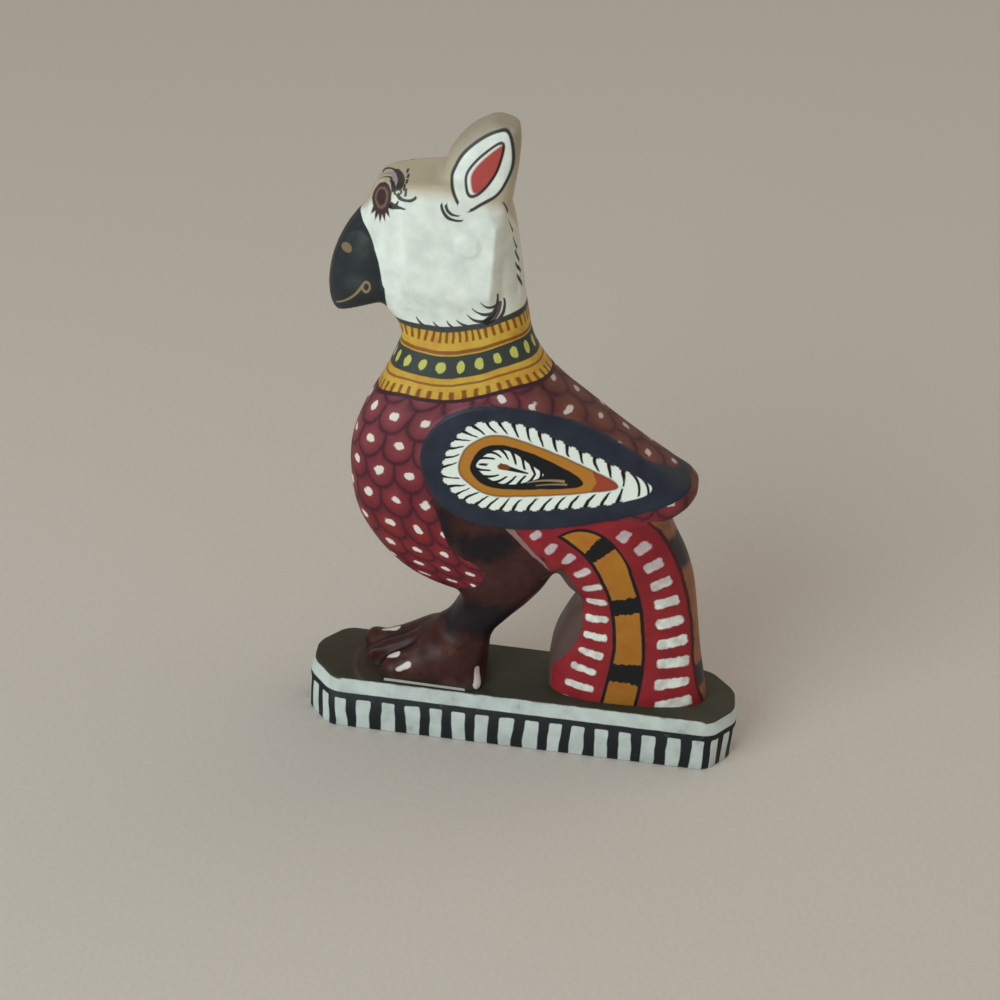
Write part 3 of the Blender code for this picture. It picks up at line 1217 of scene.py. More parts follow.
def leg_paint(board, up):
    colour = board.mottled(LEG_BROWN, FOOT_BROWN, LEG_PATCHES)
    colour = board.over(colour, LEG_SHADE, board.spots(*LEG_SPOTS))
    patches = board.field("leg_patches") + board.wander(*LEG_INK_WOBBLE)
    colour = board.over(colour, LEG_INK, inside(patches, LEG_INK_SOFTNESS) * LEG_INK_STRENGTH)
    rear = inside(board.field("tail_front") + LEG_MAUVE_EDGE + board.wander(*LEG_MAUVE_WOBBLE))
    colour = board.over(colour, MAUVE, rear * LEG_MAUVE_STRENGTH)
    low = inside(FOOT_BELOW - up, FOOT_BELOW_SOFTNESS)
    # Painted highlight: lighter brown spots low on the foot, for the light on the toes' ridges.
    colour = board.over(colour, TOE_HIGHLIGHT_BROWN, board.spots(*TOE_HIGHLIGHT_SPOTS) * low)
    colour = board.over(colour, FOOT_SHADE, board.spots(*FOOT_SPOTS) * low)
    # Painted shade: the carved grooves between the toes are darkened.
    colour = board.over(colour, GROOVE_SHADE_BROWN, board.field("grooves").ease(*GROOVE_SHADE_PART) * GROOVE_SHADE_STRENGTH)
    olive = inside(OLIVE_BELOW - up + board.wander(*OLIVE_WOBBLE), OLIVE_SOFTNESS)
    colour = board.over(colour, OLIVE_DARK, olive * OLIVE_STRENGTH)
    nails = board.field("nails") + board.wander(*NAIL_WOBBLE)
    return board.over(colour, NAIL_WHITE, inside(nails))


# The tail. The arch is the top of the ochre stripe: its middle, its height there, and how it drops off.
# Bands are given by their middles and half widths. A row of dashes has its field, how far apart they are,
# where they start, their half lengths at the top and at the ground, and their half thickness.

TAIL_WOBBLE = (3.0, 0.4)
TAIL_PATCHES = 5.0
TAIL_RUN = 52.0
OCHRE_PATCHES = 4.0
OCHRE_ARCH = (6.6, 34.4, 0.11)
OCHRE_LOW_SHADE_PART = (20.0, 4.0)
OCHRE_LOW_SHADE_STRENGTH = 0.55
OCHRE_EDGE = 0.4
OCHRE_BANDS = ((9.9, 2.0), (27.8, 2.3), (46.4, 2.6))
OCHRE_BAND_WOBBLE = (0.9, 1.6)
DASH_ROWS = (("front_dashes", 4.75, 2.1, 1.25, 3.3, 0.9), ("back_dashes", 5.5, 1.15, 1.3, 4.1, 1.3))
DASH_ROUNDING = 0.8
DASH_WOBBLE = (1.4, 0.9)
DASH_PATCHES = 2.5
DASH_MAUVE_PART = (18.0, 30.0)
DASH_MAUVE_STRENGTH = 0.7
DASH_SOFTNESS = 0.35
DASH_FRONT_GAP = 0.5
DASH_REAR_GAP = 0.3
TAIL_EDGE_PATCHES = 8.0
TAIL_EDGE_BANDS = ((29.2, 2.6), (5.6, 2.2))
TAIL_EDGE_WOBBLE = (2.0, 2.0)
TAIL_EDGE_SOFTNESS = 1.2
TAIL_EDGE_LINE_HALF = 0.35


def tail_dashes(board):
    """How far inside the nearest dash a place is. The dashes grow longer down the tail."""
    rows = []
    for name, pitch, start, short, long, half_thick in DASH_ROWS:
        run = board.field(name + "_run")
        grown = run.math("MULTIPLY_ADD", (long - short) / TAIL_RUN, short - DASH_ROUNDING)
        across = abs(board.field(name)) - grown
        step = run.repeated(pitch, start) - (half_thick - DASH_ROUNDING)
        rows.append(DASH_ROUNDING - length(across | 0.0, step | 0.0))
    return any_of(rows) + board.wander(*DASH_WOBBLE)


def tail_paint(board, back, up):
    wobble = board.wander(*TAIL_WOBBLE)
    front = board.field("tail_front") + wobble
    rear = board.field("tail_back") + wobble
    colour = board.mottled(TAIL_RED, TAIL_DARK_RED, TAIL_PATCHES)
    colour = board.over(colour, TAIL_FACE, inside(-front))
    middle, top, drop = OCHRE_ARCH
    arch = ((back - middle) * (back - middle)).math("MULTIPLY_ADD", -drop, top - up) * SHARE_MM
    stripe = (board.field("ochre_front") & -board.field("ochre_back") & arch) + wobble
    colour = board.over(colour, board.mottled(OCHRE, OCHRE_DARK, OCHRE_PATCHES), inside(stripe))
    # Painted shade: the ochre stripe darkens towards the ground.
    low = up.ease(*OCHRE_LOW_SHADE_PART) * OCHRE_LOW_SHADE_STRENGTH
    colour = board.over(colour, OCHRE_LOW_SHADE, inside(stripe) * low)
    run = board.field("ochre_middle_run")
    bands = any_of([ribbon(run, *place) for place in OCHRE_BANDS]) + board.wander(*OCHRE_BAND_WOBBLE)
    colour = board.over(colour, INK, inside(bands & stripe))
    colour = board.over(colour, INK, inside(near(stripe, OCHRE_EDGE)))
    dashes = tail_dashes(board) & (front - DASH_FRONT_GAP) & (-rear - DASH_REAR_GAP)
    thin = board.mottled(WHITE, DASH_GREY, DASH_PATCHES)
    thin = board.over(thin, DASH_MAUVE, up.ease(*DASH_MAUVE_PART) * DASH_MAUVE_STRENGTH)
    colour = board.over(colour, thin, inside(dashes, DASH_SOFTNESS))
    edge = board.mottled(TAIL_EDGE_BROWN, ORANGE_BROWN, TAIL_EDGE_PATCHES)
    dark = any_of([ribbon(up, *place) for place in TAIL_EDGE_BANDS]) * SHARE_MM
    dark = dark + board.wander(*TAIL_EDGE_WOBBLE)
    edge = board.over(edge, TAIL_EDGE_DARK, inside(dark, TAIL_EDGE_SOFTNESS))
    colour = board.over(colour, edge, inside(rear))
    return board.over(colour, TAIL_EDGE_LINE, inside(near(rear, TAIL_EDGE_LINE_HALF)))


# The wing. The strokes across the white ring stand further apart towards the tip, by a logarithm.

WING_WOBBLE = (2.5, 0.35)
NAVY_PATCHES = (6.0, 4.0)
FEATHER_WARP = 100.0
FEATHER_COUNT = 41.0
FEATHER_SLANT = 2.8
FEATHER_DRIFT = (5.0, 2.0)
FEATHER_HALF = 0.4
FEATHER_TAPER = 0.2
FEATHER_REACH = 0.84
FEATHER_REACH_WOBBLE = (4.0, 0.4)
FEATHER_END = 2.0
FEATHER_OVERLAP = 0.1
NOTCH_HALF = 0.8
NOTCH_DEPTH = 0.28
BARB_PITCH = 2.6
BARB_SLANT = 1.3
BARB_DRIFT = (3.0, 0.8)
BARB_HALF = 0.62
BARB_TAPER = 0.12
BARB_LENGTH = 2.3
BLACK_SPREAD = 0.15
ALMOND_EDGE = 0.35
WING_OCHRE_PATCHES = 3.0
OCHRE_LINE_HALF = 0.22
OCHRE_LINE_STRENGTH = 0.7
WING_SHAFT = (((-7.8, 44.7), (-5.6, 44.3), (-3.4, 43.9), 0.75, 0.2),)
SHAFT_EDGE = 0.4
SHAFT_SPOT = ((-7.2, 44.6), 1.0, 0.55)
WING_RED_TIP = (7.5, 43.2)
WING_RED_TIP_LEAN = 0.5
WING_TIP_FROM = 11.9
WING_TIP_STROKES = (
    ((12.7, 44.7), (13.9, 43.4), (14.3, 41.3), 0.28, 0.3),
    ((14.7, 43.7), (15.4, 42.9), (15.8, 41.5), 0.25, 0.3),
)
WING_STREAKS = (
    ((-3.2, 42.3), (-0.6, 42.9), (2.4, 43.0), 0.12, 0.32),
    ((-1.8, 41.9), (0.4, 42.3), (2.8, 42.5), 0.1, 0.2),
)


def feather_strokes(board, back, up, feather):
    """The ink strokes across the wing's white ring, and the notches at its edge."""
    band = board.field("band")
    sweep = board.field("barbs") - band * band.math("SQRT") * FEATHER_SLANT + board.wander(*FEATHER_DRIFT)
    count = ((sweep | 0.0) / FEATHER_WARP + 1).math("LOGARITHM", math.e) * FEATHER_COUNT
    from_stroke = count.repeated(1.0) * (FEATHER_WARP / FEATHER_COUNT)
    before_tip = WING_TIP_FROM - back
    reach = (FEATHER_REACH + board.wander(*FEATHER_REACH_WOBBLE) - band) * FEATHER_END
    stroke = (FEATHER_HALF - band * FEATHER_TAPER - from_stroke) & reach & before_tip
    notch = (NOTCH_HALF - from_stroke) & (NOTCH_DEPTH - feather) & before_tip
    return (stroke | notch | brush_marks(back, up, WING_TIP_STROKES)) & (feather + FEATHER_OVERLAP)


def wing_paint(board, back, up):
    wobble = board.wander(*WING_WOBBLE)
    feather = board.field("feather") + wobble
    ochre = board.field("ochre") + wobble
    black = board.field("black") + wobble
    almond = board.field("almond") + wobble
    colour = board.mottled(NAVY, NAVY_DARK, *NAVY_PATCHES)
    colour = board.over(colour, WHITE, inside(feather))
    colour = board.over(colour, INK, inside(feather_strokes(board, back, up, feather)))
    tip_back, tip_up = WING_RED_TIP
    tip = (back - tip_back) + abs(up - tip_up) * WING_RED_TIP_LEAN
    ground = board.over(board.mottled(OCHRE, WING_OCHRE, WING_OCHRE_PATCHES), TIP_RED, inside(tip + wobble))
    colour = board.over(colour, ground, inside(ochre))
    colour = board.over(colour, OCHRE_LINE, inside(near(ochre, OCHRE_LINE_HALF)) * OCHRE_LINE_STRENGTH)
    colour = board.over(colour, INK, inside(black + BLACK_SPREAD))
    colour = board.over(colour, WHITE, inside(almond - ALMOND_EDGE))
    barbs = board.field("almond_barbs") - almond * BARB_SLANT + board.wander(*BARB_DRIFT)
    barb = (BARB_HALF - almond * BARB_TAPER - barbs.repeated(BARB_PITCH)) & (BARB_LENGTH - almond)
    colour = board.over(colour, INK, inside(barb & almond))
    colour = board.over(colour, STREAK_TAN, inside(brush_marks(back, up, WING_STREAKS)))
    shaft = brush_marks(back, up, WING_SHAFT)
    colour = board.over(colour, WHITE, inside(shaft + SHAFT_EDGE))
    colour = board.over(colour, INK, inside(shaft))
    return board.over(colour, TICK_BROWN, inside(oval(back, up, *SHAFT_SPOT)))


# The collar. Heights are in mm over its lower edge, and lines and bands have their middles and half widths.

COLLAR_TALL = 15.5
COLLAR_DRIFT = (4.0, 0.7)
COLLAR_PATCHES = 3.0
COLLAR_BAND = (7.6, 2.55)
COLLAR_UPPER_LINE = (10.9, 0.42)
COLLAR_UPPER_LINE_STRENGTH = 0.85
COLLAR_LOWER_LINE = (3.5, 0.26)
COLLAR_LOWER_LINE_STRENGTH = 0.8
COLLAR_FOOT_LINE = (-0.3, 0.6)
COLLAR_DOT = 1.02
COLLAR_DOT_PITCH = 3.55
COLLAR_DOT_NARROWER = 1.25
COLLAR_DOT_TALLER = 0.74
COLLAR_DOT_WOBBLE = (1.8, 0.8)
TICK_HALF = 0.34
TICK_SLANT = 1.5
TICK_WOBBLE = (1.5, 0.3)
TICK_STRENGTH = 0.9
HIGH_TICKS_PITCH = 1.62
HIGH_TICKS_FROM = 13.0
LOW_TICKS_PITCH = 1.72
LOW_TICKS_START = 0.9
LOW_TICKS_END = 2.1


def collar_paint(board, collar):
    height = collar * COLLAR_TALL
    neck = board.field("round_neck") + board.wander(*COLLAR_DRIFT)
    colour = board.mottled(YELLOW, YELLOW_DARK, COLLAR_PATCHES)
    upper = inside(ribbon(height, *COLLAR_UPPER_LINE)) * COLLAR_UPPER_LINE_STRENGTH
    colour = board.over(colour, TICK_BROWN, upper)
    colour = board.over(colour, COLLAR_GREEN, inside(ribbon(height, *COLLAR_BAND)))
    spot = neck.repeated(COLLAR_DOT_PITCH) * COLLAR_DOT_NARROWER
    dots = COLLAR_DOT - length(spot, (height - COLLAR_BAND[0]) * COLLAR_DOT_TALLER)
    colour = board.over(colour, YELLOW_DOT, inside(dots + board.wander(*COLLAR_DOT_WOBBLE)))
    lower = inside(ribbon(height, *COLLAR_LOWER_LINE)) * COLLAR_LOWER_LINE_STRENGTH
    colour = board.over(colour, TICK_BROWN, lower)
    slant = neck + collar * TICK_SLANT
    ragged = board.wander(*TICK_WOBBLE)
    high = (TICK_HALF - slant.repeated(HIGH_TICKS_PITCH) + ragged) & (height - HIGH_TICKS_FROM)
    low = (TICK_HALF - slant.repeated(LOW_TICKS_PITCH, LOW_TICKS_START) + ragged) & (LOW_TICKS_END - height)
    colour = board.over(colour, TICK_BROWN, inside(high | low) * TICK_STRENGTH)
    return board.over(colour, COLLAR_LINE, inside(ribbon(height, *COLLAR_FOOT_LINE)))


# The head. Brush marks are their start, middle and end, and their half widths at both ends.

BROWS = (
    ((-30.1, 92.8), (-29.1, 93.3), (-28.3, 91.8), 0.25, 0.4),
    ((-28.3, 91.8), (-27.9, 90.6), (-27.6, 89.0), 0.4, 0.55),
    ((-30.0, 95.0), (-29.3, 96.5), (-28.2, 96.0), 0.25, 0.65),
    ((-28.2, 96.0), (-27.5, 94.7), (-27.0, 93.0), 0.65, 0.8),
    ((-27.0, 93.0), (-26.75, 91.3), (-27.0, 89.4), 0.8, 0.75),
    ((-27.0, 88.4), (-26.4, 87.5), (-25.4, 87.2), 0.45, 0.45),
    ((-25.4, 87.2), (-24.8, 87.3), (-24.2, 87.9), 0.45, 0.35),
    ((-28.0, 86.6), (-27.0, 86.0), (-25.7, 85.6), 0.75, 0.2),
    ((-27.4, 86.1), (-27.0, 86.5), (-26.8, 87.0), 0.5, 0.2),
)
LILACS = (
    ((-30.1, 94.0), (-28.9, 94.8), (-28.0, 92.8), 0.75, 0.85),
    ((-28.0, 92.8), (-27.6, 91.4), (-27.4, 90.1), 0.85, 0.5),
)
BROW_RING = ((-27.0, 88.8), 0.5, 0.5)
BROW_RING_LINE = 0.22
BROW_DOTS_AT = ((-26.3, 95.7), (-26.0, 93.7), (-25.9, 91.7), (-26.1, 89.9), (-25.8, 88.8))
BROW_DOT_HALF = 0.7
BROW_DOT_THICK = 0.25
BROW_DOTS = tuple(
    ((back, up - BROW_DOT_HALF), (back, up), (back, up + BROW_DOT_HALF), BROW_DOT_THICK, BROW_DOT_THICK)
    for back, up in BROW_DOTS_AT
)
# These are drawn sideways from the middle of the back of the neck, not back.
NECK_DASHES = (
    ((4.4, 87.2), (4.1, 86.3), (3.7, 85.5), 0.12, 0.35),
    ((3.7, 84.2), (3.4, 83.2), (2.9, 82.2), 0.15, 0.42),
    ((3.3, 81.3), (3.0, 80.3), (2.4, 79.3), 0.15, 0.42),
    ((3.1, 79.1), (2.8, 78.2), (2.25, 77.2), 0.15, 0.42),
    ((3.0, 77.0), (2.7, 76.2), (2.1, 75.3), 0.15, 0.42),
    ((2.9, 75.0), (2.6, 74.1), (2.0, 73.1), 0.15, 0.42),
)
NECK_DASHES_FROM = -12.5
NECK_DASHES_EDGE = 3.0
EYE_MIDDLE = (-29.45, 88.25)
EYE_WIDE = 1.48
EYE_TALL = 3.05
EYE_LEAN = -0.09
EYE_WOBBLE = (1.2, 0.16)
EYE_RIM = 1.04
EYE_RIM_SOFTNESS = 0.12
EYE_RING = (0.6, 0.07)
EYE_RING_SOFTNESS = 0.16
EYE_RING_STRENGTH = 0.55
PUPIL_RIM = 0.42
PUPIL_SOFTNESS = 0.2
LASH_PITCH = 0.385
LASH_SPREAD = 1.2
LASH_END = 1.42
LASH_BLUNTNESS = 0.42
LASH_SOFTNESS = 0.1
CHEEK_STROKES = (
    ((-20.3, 86.8), (-19.4, 85.0), (-17.1, 84.6), 0.42, 0.3),
    ((-19.6, 86.8), (-19.1, 85.7), (-17.7, 85.3), 0.4, 0.25),
)
FRINGE = (
    ((-22.9, 66.9), (-22.0, 65.8), (-20.3, 65.1), 0.15, 0.6),
    ((-20.2, 66.5), (-19.3, 65.7), (-17.7, 65.4), 0.15, 0.6),
    ((-18.1, 67.0), (-17.3, 66.1), (-15.9, 65.8), 0.15, 0.6),
    ((-16.6, 67.4), (-15.2, 66.7), (-13.2, 66.8), 0.15, 0.65),
    ((-15.1, 68.6), (-13.7, 67.8), (-11.8, 68.1), 0.15, 0.6),
    ((-14.4, 70.0), (-13.1, 69.1), (-11.2, 69.5), 0.15, 0.55),
    ((-13.1, 71.3), (-12.0, 70.5), (-10.6, 71.0), 0.15, 0.5),
    ((-10.8, 72.6), (-10.8, 70.7), (-12.2, 68.0), 0.2, 0.6),
    ((-9.8, 71.6), (-9.7, 69.7), (-11.3, 67.4), 0.25, 0.5),
    ((-11.0, 67.8), (-12.4, 67.0), (-14.4, 66.4), 0.5, 0.4),
)
CRESCENT = (((-10.3, 71.2), (-10.7, 69.3), (-12.4, 67.6), 0.3, 0.8),)
HEAD_WOBBLE = (2.0, 0.2)
HEAD_PATCHES = (4.0, 4.0)
# The crown's and the nape's painted shade, with some dirt, and the crest rim's darker painted shade higher up.
CROWN_SHADE_PART = (87.1, 89.6)
NAPE_SHADE_PART = (-11.9, -10.7)
NAPE_SHADE_STRENGTH = 0.4
CROWN_SHADE_STRENGTH = 0.92
CROWN_SOFTNESS = 0.8
CREST_RIM_SHADE_PART = (89.0, 96.0)
CREST_RED_GAP = 0.35
CREST_RED_SOFTNESS = 0.4
CREST_LINE = 0.33
CREST_ROOT = (-16.9, 86.9)
CREST_ROOT_GAP = 0.95
CREST_ALMOND_LINE = 0.28
THROAT_LINE = (1.03, 0.95)
HEAD_INK_STRENGTH = 0.94


def eye_paint(board, colour, back, up):
    """The lashes, the dark ring, a pale ring in it and the pupil."""
    across = (back - EYE_MIDDLE[0] - (up - EYE_MIDDLE[1]) * EYE_LEAN) / EYE_WIDE
    above = (up - EYE_MIDDLE[1]) / EYE_TALL
    out = length(across, above) + board.wander(*EYE_WOBBLE)
    around = across.math("ARCTAN2", -above)
    lash = (LASH_END - out) * LASH_BLUNTNESS - around.repeated(LASH_PITCH)
    lashes = inside(lash, LASH_SOFTNESS) * inside(near(around, LASH_SPREAD))
    colour = board.over(colour, EYE_BROWN, lashes | inside(EYE_RIM - out, EYE_RIM_SOFTNESS))
    ring = inside(ribbon(out, *EYE_RING), EYE_RING_SOFTNESS) * EYE_RING_STRENGTH
    colour = board.over(colour, EYE_PINK, ring)
    return board.over(colour, PUPIL_BROWN, inside(PUPIL_RIM - out, PUPIL_SOFTNESS))


def head_ink(board, back, up, brow_up, collar):
    """How far inside the head's black lines and strokes a place is."""
    crest = board.field("crest")
    root = length(back - CREST_ROOT[0], up - CREST_ROOT[1]) - CREST_ROOT_GAP
    neck_sideways = board.field("sideways") / SHARE_MM
    throat, throat_half = THROAT_LINE
    lines = (
        near(crest, CREST_LINE) & root,
        near(board.field("crest_almond"), CREST_ALMOND_LINE),
        brush_marks(back, brow_up, BROWS + BROW_DOTS),
        near(oval(back, brow_up, *BROW_RING), BROW_RING_LINE),
        brush_marks(back, up, CHEEK_STROKES + FRINGE),
        near((collar - throat) * COLLAR_TALL, throat_half),
        brush_marks(neck_sideways, up, NECK_DASHES) & ((back - NECK_DASHES_FROM) * NECK_DASHES_EDGE),
    )
    return any_of(lines)


def head_paint(board, back, up, collar):
    wobble = board.wander(*HEAD_WOBBLE)
    back = back + wobble
    up = up + wobble
    brow_up = board.field("brow_up") + wobble
    colour = board.mottled(WHITE, WHITE_SHADE, *HEAD_PATCHES)
    # Painted shade with some dirt: the crown, the nape and the crest's rim are painted tan where they turn up and
    # back.
    crown_shade = brow_up.ease(*CROWN_SHADE_PART) | back.ease(*NAPE_SHADE_PART) * NAPE_SHADE_STRENGTH
    shade_and_dirt = board.over(SHADE_AND_DIRT_TAN, RIM_SHADE_AND_DIRT_TAN, up.ease(*CREST_RIM_SHADE_PART))
    beside_crest = inside(-board.field("crest"), CROWN_SOFTNESS)
    colour = board.over(colour, shade_and_dirt, crown_shade * beside_crest * CROWN_SHADE_STRENGTH)
    crest_red = board.field("crest_red") - CREST_RED_GAP
    colour = board.over(colour, CREST_RED, inside(crest_red, CREST_RED_SOFTNESS))
    colour = board.over(colour, LILAC, inside(brush_marks(back, brow_up, LILACS)))
    colour = eye_paint(board, colour, back, brow_up)
    colour = board.over(colour, CRESCENT_MAUVE, inside(brush_marks(back, up, CRESCENT)))
    ink = inside(head_ink(board, back, up, brow_up, collar))
    return board.over(colour, INK, ink * HEAD_INK_STRENGTH)


# The beak.

BEAK_PATCHES = 5.0
NOSTRIL = ((-34.45, 76.3), 0.85, 0.75)
MOUTH = (((-35.5, 66.9), (-33.7, 68.2), (-31.5, 71.1), 0.2, 0.28),)
MOUTH_LOOP = ((-30.9, 71.0), 0.55, 0.75)
MOUTH_LOOP_LINE = 0.2


def beak_paint(board, back, up):
    colour = board.mottled(SLATE, SLATE_DARK, BEAK_PATCHES)
    colour = board.over(colour, NOSTRIL_TAN, inside(oval(back, up, *NOSTRIL)))
    loop = near(oval(back, up, *MOUTH_LOOP), MOUTH_LOOP_LINE)
    return board.over(colour, MOUTH_TAN, inside(brush_marks(back, up, MOUTH) | loop))


# The whole bird: where each part's paint ends, and the varnished brushwork over all of it.

COLLAR_WOBBLE = (5.0, 0.035)
COLLAR_SPREAD = 0.04
TAIL_TOP = 36.5
TAIL_FACE_TOP = 27.0
TAIL_FACE_FROM = 2.6
LEG_EDGE_WOBBLE = (3.0, 0.6)
WING_EDGE_WOBBLE = (2.5, 0.35)
BEAK_EDGE_WOBBLE = (4.0, 0.5)
BIRD_ROUGHNESS = 0.45
ROUGHNESS_WOBBLE = (5.0, 0.25, 3.0)
FINE_BRUSHWORK = (1.1, 0.05, 4.0)
BIRD_HOLLOWS = (5.0, 0.22)


def bird_paint():
    board = Board("painted_bird")
    back = board.field("back")
    up = board.field("up")
    roughness = BIRD_ROUGHNESS + board.wander(*ROUGHNESS_WOBBLE)
    surface = board.brushed(board.wander(*FINE_BRUSHWORK) + board.wander(*BIRD_HOLLOWS))
    collar = board.field("collar") + board.wander(*COLLAR_WOBBLE)
    tail_front = board.field("tail_front")
    tail = tail_front & (TAIL_TOP - up)
    tail_face = -tail_front & (TAIL_FACE_TOP - up) & (back - TAIL_FACE_FROM)
    regions = (
        (leg_paint(board, up), board.field("leg") + board.wander(*LEG_EDGE_WOBBLE)),
        (tail_paint(board, back, up), tail | tail_face),
        (wing_paint(board, back, up), board.field("wing") + board.wander(*WING_EDGE_WOBBLE)),
        (collar_paint(board, collar), (collar + COLLAR_SPREAD) * COLLAR_TALL),
        (head_paint(board, back, up, collar), (collar - 1) * COLLAR_TALL),
        (beak_paint(board, back, up), board.field("beak") + board.wander(*BEAK_EDGE_WOBBLE)),
    )
    painted = board.coat(torso_paint(board, back, up), roughness, surface)
    for colour, depth in regions:
        painted = board.cover(painted, board.coat(colour, roughness, surface), inside(depth))
    return board.finish(painted)


# The plinth's paint, in mm. The brown glaze is an oval round the foot. A strip of painted shade and a line of
# painted highlight lie beside it, and a pale arc of painted highlight before it stands for a low ridge that isn't
# carved.

STRIPE_PITCH = 5.45
STRIPE_BLOCK = 1.5
STRIPE_ROUNDING = 0.45
STRIPE_DRIFT = (14.0, 3.4)
STRIPE_TOP_UNDER_SLOPE = 1.75
STRIPE_TOP_DRIFT = (7.0, 0.8)
STRIPE_WOBBLE = 0.2
PLINTH_WOBBLE = (3.0, 0.8)
PLINTH_PATCHES = (4.0, 4.0)
SLOPE_WHITE_OVERLAP = 0.1
SLOPE_WOBBLE = 0.3
SMUDGES = (4.0, 3.0, 0.16, 0.24, 0.5)
TOP_EDGE = 0.85
TOP_EDGE_WOBBLE = 0.45
TOP_DEPTH = 0.6
TOP_PATCHES = 14.0
RIDGE_HIGHLIGHT_MIDDLE = (2.0, -24.0)
RIDGE_HIGHLIGHT_RADIUS = 15.4
RIDGE_HIGHLIGHT_HALF = 0.5
RIDGE_HIGHLIGHT_BEFORE = -29.0
RIDGE_HIGHLIGHT_SOFTNESS = 0.6
RIDGE_HIGHLIGHT_STRENGTH = 0.25
GLAZE_MIDDLE = (1.0, -32.0)
GLAZE_SQUEEZE = (0.9, 0.55)
GLAZE_RADIUS = 9.5
GLAZE_PART = (-1.0, 5.0)
GLAZE_STRENGTH = 0.7
SHADE_STRIP_MIDDLE = (8.8, -20.0)
SHADE_STRIP_HALF = (1.5, 13.0)
SHADE_STRIP_PART = (-0.7, 0.9)
SHADE_STRIP_STRENGTH = 0.6
HIGHLIGHT_LINE_MIDDLE = (9.6, -22.5)
HIGHLIGHT_LINE_HALF = (0.48, 9.3)
HIGHLIGHT_LINE_LEAN = 0.02
HIGHLIGHT_LINE_WOBBLE = 0.25
HIGHLIGHT_LINE_STRENGTH = 0.9
PLINTH_ROUGHNESS = 0.5
PLINTH_HOLLOWS = (6.0, 0.2)


def plinth_top_paint(board, x, y, wobble):
    """The olive ground, with the glaze round the foot, a strip of painted shade and a line of painted highlight
    beside it, and a pale arc of painted highlight before it.
    """
    olive = board.mottled(OLIVE, OLIVE_DARK, TOP_PATCHES)
    # Painted highlight: a pale arc before the foot, for a low ridge that isn't carved.
    ridge_x, ridge_y = RIDGE_HIGHLIGHT_MIDDLE
    ridge_highlight = near(length(x - ridge_x, y - ridge_y) - RIDGE_HIGHLIGHT_RADIUS + wobble, RIDGE_HIGHLIGHT_HALF) & (RIDGE_HIGHLIGHT_BEFORE - y)
    olive = board.over(olive, RIDGE_HIGHLIGHT_TAN, inside(ridge_highlight, RIDGE_HIGHLIGHT_SOFTNESS) * RIDGE_HIGHLIGHT_STRENGTH)
    glaze_x, glaze_y = GLAZE_MIDDLE
    squeeze_x, squeeze_y = GLAZE_SQUEEZE
    glaze = near(length((x - glaze_x) * squeeze_x, (y - glaze_y) * squeeze_y) + wobble, GLAZE_RADIUS)
    olive = board.over(olive, GLAZE_BROWN, glaze.ease(*GLAZE_PART) * GLAZE_STRENGTH)
    # Painted shade: a darker green strip beside the foot.
    shade_strip = near(x - SHADE_STRIP_MIDDLE[0], SHADE_STRIP_HALF[0]) & near(y - SHADE_STRIP_MIDDLE[1], SHADE_STRIP_HALF[1])
    olive = board.over(olive, PAINTED_SHADE_GREEN, (shade_strip + wobble).ease(*SHADE_STRIP_PART) * SHADE_STRIP_STRENGTH)
    # Painted highlight: a thin white line along the foot's lower edge.
    highlight_line = near(x - y * HIGHLIGHT_LINE_LEAN - HIGHLIGHT_LINE_MIDDLE[0], HIGHLIGHT_LINE_HALF[0]) & near(y - HIGHLIGHT_LINE_MIDDLE[1], HIGHLIGHT_LINE_HALF[1])
    return board.over(olive, HIGHLIGHT_WHITE, inside(highlight_line + wobble * HIGHLIGHT_LINE_WOBBLE) * HIGHLIGHT_LINE_STRENGTH)


def plinth_paint():
    board = Board("painted_plinth")
    place = board.node("ShaderNodeTexCoord", {}, {}, "Object")
    x, y, z = (board.node("ShaderNodeSeparateXYZ", {}, {0: place}, axis) / MM for axis in "XYZ")
    half_x = PLINTH_WIDTH / 2 / MM
    half_y = PLINTH_LENGTH / 2 / MM
    corner = np.array([PLINTH_CORNER_LENGTH, PLINTH_CORNER_WIDTH])
    corner_x, corner_y = (corner / np.linalg.norm(corner)).tolist()
    reach = corner_x * half_x + corner_y * (half_y - PLINTH_CORNER_LENGTH / MM)
    edge = (half_x - abs(x)) & (half_y - abs(y)) & (reach - abs(x) * corner_x - abs(y) * corner_y)
    along = y + y.math("SIGN") * (half_x - abs(x))
    slope_foot = (GROUND - PLINTH_SLOPE_HEIGHT) / MM
    wobble = board.wander(*PLINTH_WOBBLE)
    white = board.mottled(PLINTH_WHITE, PLINTH_GREY, *PLINTH_PATCHES)
    block = (along + board.wander(*STRIPE_DRIFT)).repeated(STRIPE_PITCH) - (STRIPE_BLOCK - STRIPE_ROUNDING)
    block_top = slope_foot - STRIPE_TOP_UNDER_SLOPE - STRIPE_ROUNDING
    rise = z - block_top + board.wander(*STRIPE_TOP_DRIFT)
    outside = length(block | 0.0, rise | 0.0)
    colour = board.over(BLOCK_BLACK, white, inside(STRIPE_ROUNDING - outside + wobble * STRIPE_WOBBLE))
    slope = inside(z - slope_foot + SLOPE_WHITE_OVERLAP + wobble * SLOPE_WOBBLE)
    colour = board.over(colour, white, slope)
    colour = board.over(colour, SMUDGE_GREY, board.spots(*SMUDGES))
    top = inside((edge - TOP_EDGE + wobble * TOP_EDGE_WOBBLE) & (z - GROUND / MM + TOP_DEPTH))
    colour = board.over(colour, plinth_top_paint(board, x, y, wobble), top)
    roughness = PLINTH_ROUGHNESS + board.wander(*ROUGHNESS_WOBBLE)
    surface = board.brushed(board.wander(*FINE_BRUSHWORK) + board.wander(*PLINTH_HOLLOWS))
    return board.finish(board.coat(colour, roughness, surface))


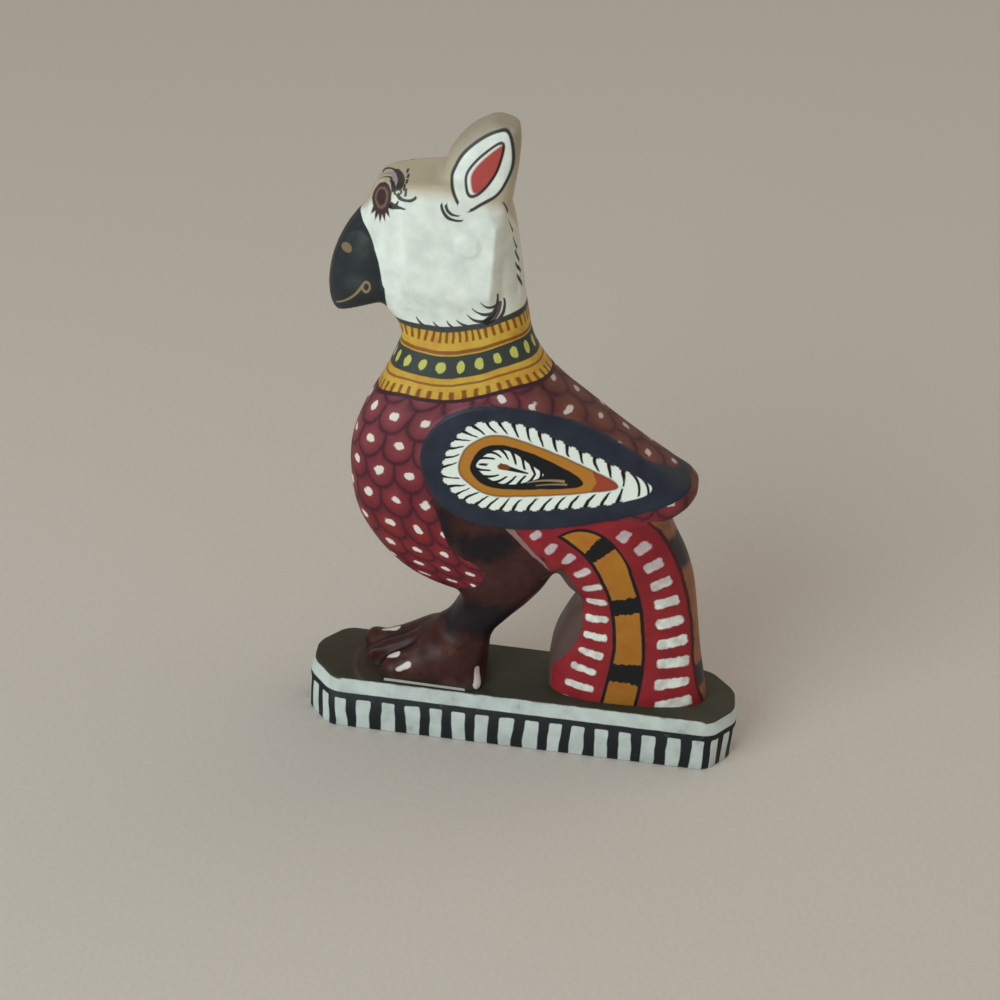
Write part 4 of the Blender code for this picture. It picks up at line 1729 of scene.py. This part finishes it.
def place_piece(mesh, name, material):
    mesh.materials.clear()
    mesh.materials.append(material)
    piece = object_of(mesh, name)
    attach(piece, "root")
    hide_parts(FIGURINE)


# Camera, light and floor. The camera's place is in mm, and its right, its top and its back face these ways.

CAMERA_PLACE = (455.27, 8.41, 332.42)
CAMERA_RIGHT = (-0.09059, 0.9923, 0.08448)
CAMERA_UP = (-0.50817, -0.11901, 0.85299)
CAMERA_BACK = (0.85648, 0.03434, 0.51504)
CAMERA_LENS = 86.4
CAMERA_SENSOR = 36.0
CAMERA_NEAREST = 0.01
LIGHTS_AIM = (0.0, 0.0, 0.07)
KEY_PLACE = (0.85, -0.6, 0.5)
KEY_SIZE = 0.8
KEY_POWER = 9.0
KEY_COLOUR = (0.9, 1.0, 1.02)
FILL_PLACE = (-0.3, 0.6, 0.9)
FILL_SIZE = 1.0
FILL_POWER = 2.5
FILL_COLOUR = (1.0, 0.88, 0.72)
WORLD_COLOUR = (1.0, 0.93, 0.82, 1.0)
WORLD_STRENGTH = 0.4
FLOOR_HALF = 3.0
FLOOR_PATCHES = 1.0
FLOOR_ROUGHNESS = 0.8
FLOOR_HOLLOWS = (2.0, 0.05)


def camera():
    seen = bpy.data.cameras.new("camera")
    seen.lens = CAMERA_LENS
    seen.sensor_width = CAMERA_SENSOR
    seen.clip_start = CAMERA_NEAREST
    made = bpy.data.objects.new("camera", seen)
    place = [part * MM for part in CAMERA_PLACE]
    made.matrix_world = Matrix([*zip(CAMERA_RIGHT, CAMERA_UP, CAMERA_BACK, place), (0, 0, 0, 1)])
    bpy.context.scene.collection.objects.link(made)
    bpy.context.scene.camera = made


def floor():
    shape = bmesh.new()
    bmesh.ops.create_grid(shape, x_segments=1, y_segments=1, size=FLOOR_HALF)
    mesh = bpy.data.meshes.new("floor")
    shape.to_mesh(mesh)
    shape.free()
    board = Board("pale_floor")
    colour = board.mottled(FLOOR_PALE, FLOOR_SHADE, FLOOR_PATCHES)
    surface = board.brushed(board.wander(*FLOOR_HOLLOWS))
    mesh.materials.append(board.finish(board.coat(colour, FLOOR_ROUGHNESS, surface)))
    object_of(mesh, "floor")


def soft_light(name, place, size, power, colour):
    light = bpy.data.lights.new(name, "AREA")
    light.size = size
    light.energy = power
    light.color = colour
    made = bpy.data.objects.new(name, light)
    made.location = place
    made.rotation_euler = (Vector(LIGHTS_AIM) - made.location).to_track_quat("-Z", "Y").to_euler()
    bpy.context.scene.collection.objects.link(made)


def world_light(colour, strength):
    world = bpy.data.worlds.new("pale_surroundings")
    world.use_nodes = True
    background = world.node_tree.nodes["Background"]
    background.inputs["Color"].default_value = colour
    background.inputs["Strength"].default_value = strength
    bpy.context.scene.world = world


def main():
    bird = bird_mesh()
    store_fields(bird)
    place_piece(bird, "bird", bird_paint())
    place_piece(plinth_mesh(), "plinth", plinth_paint())
    camera()
    floor()
    soft_light("key", KEY_PLACE, KEY_SIZE, KEY_POWER, KEY_COLOUR)
    soft_light("fill", FILL_PLACE, FILL_SIZE, FILL_POWER, FILL_COLOUR)
    world_light(WORLD_COLOUR, WORLD_STRENGTH)
    bpy.context.scene.view_settings.view_transform = "Standard"


main()
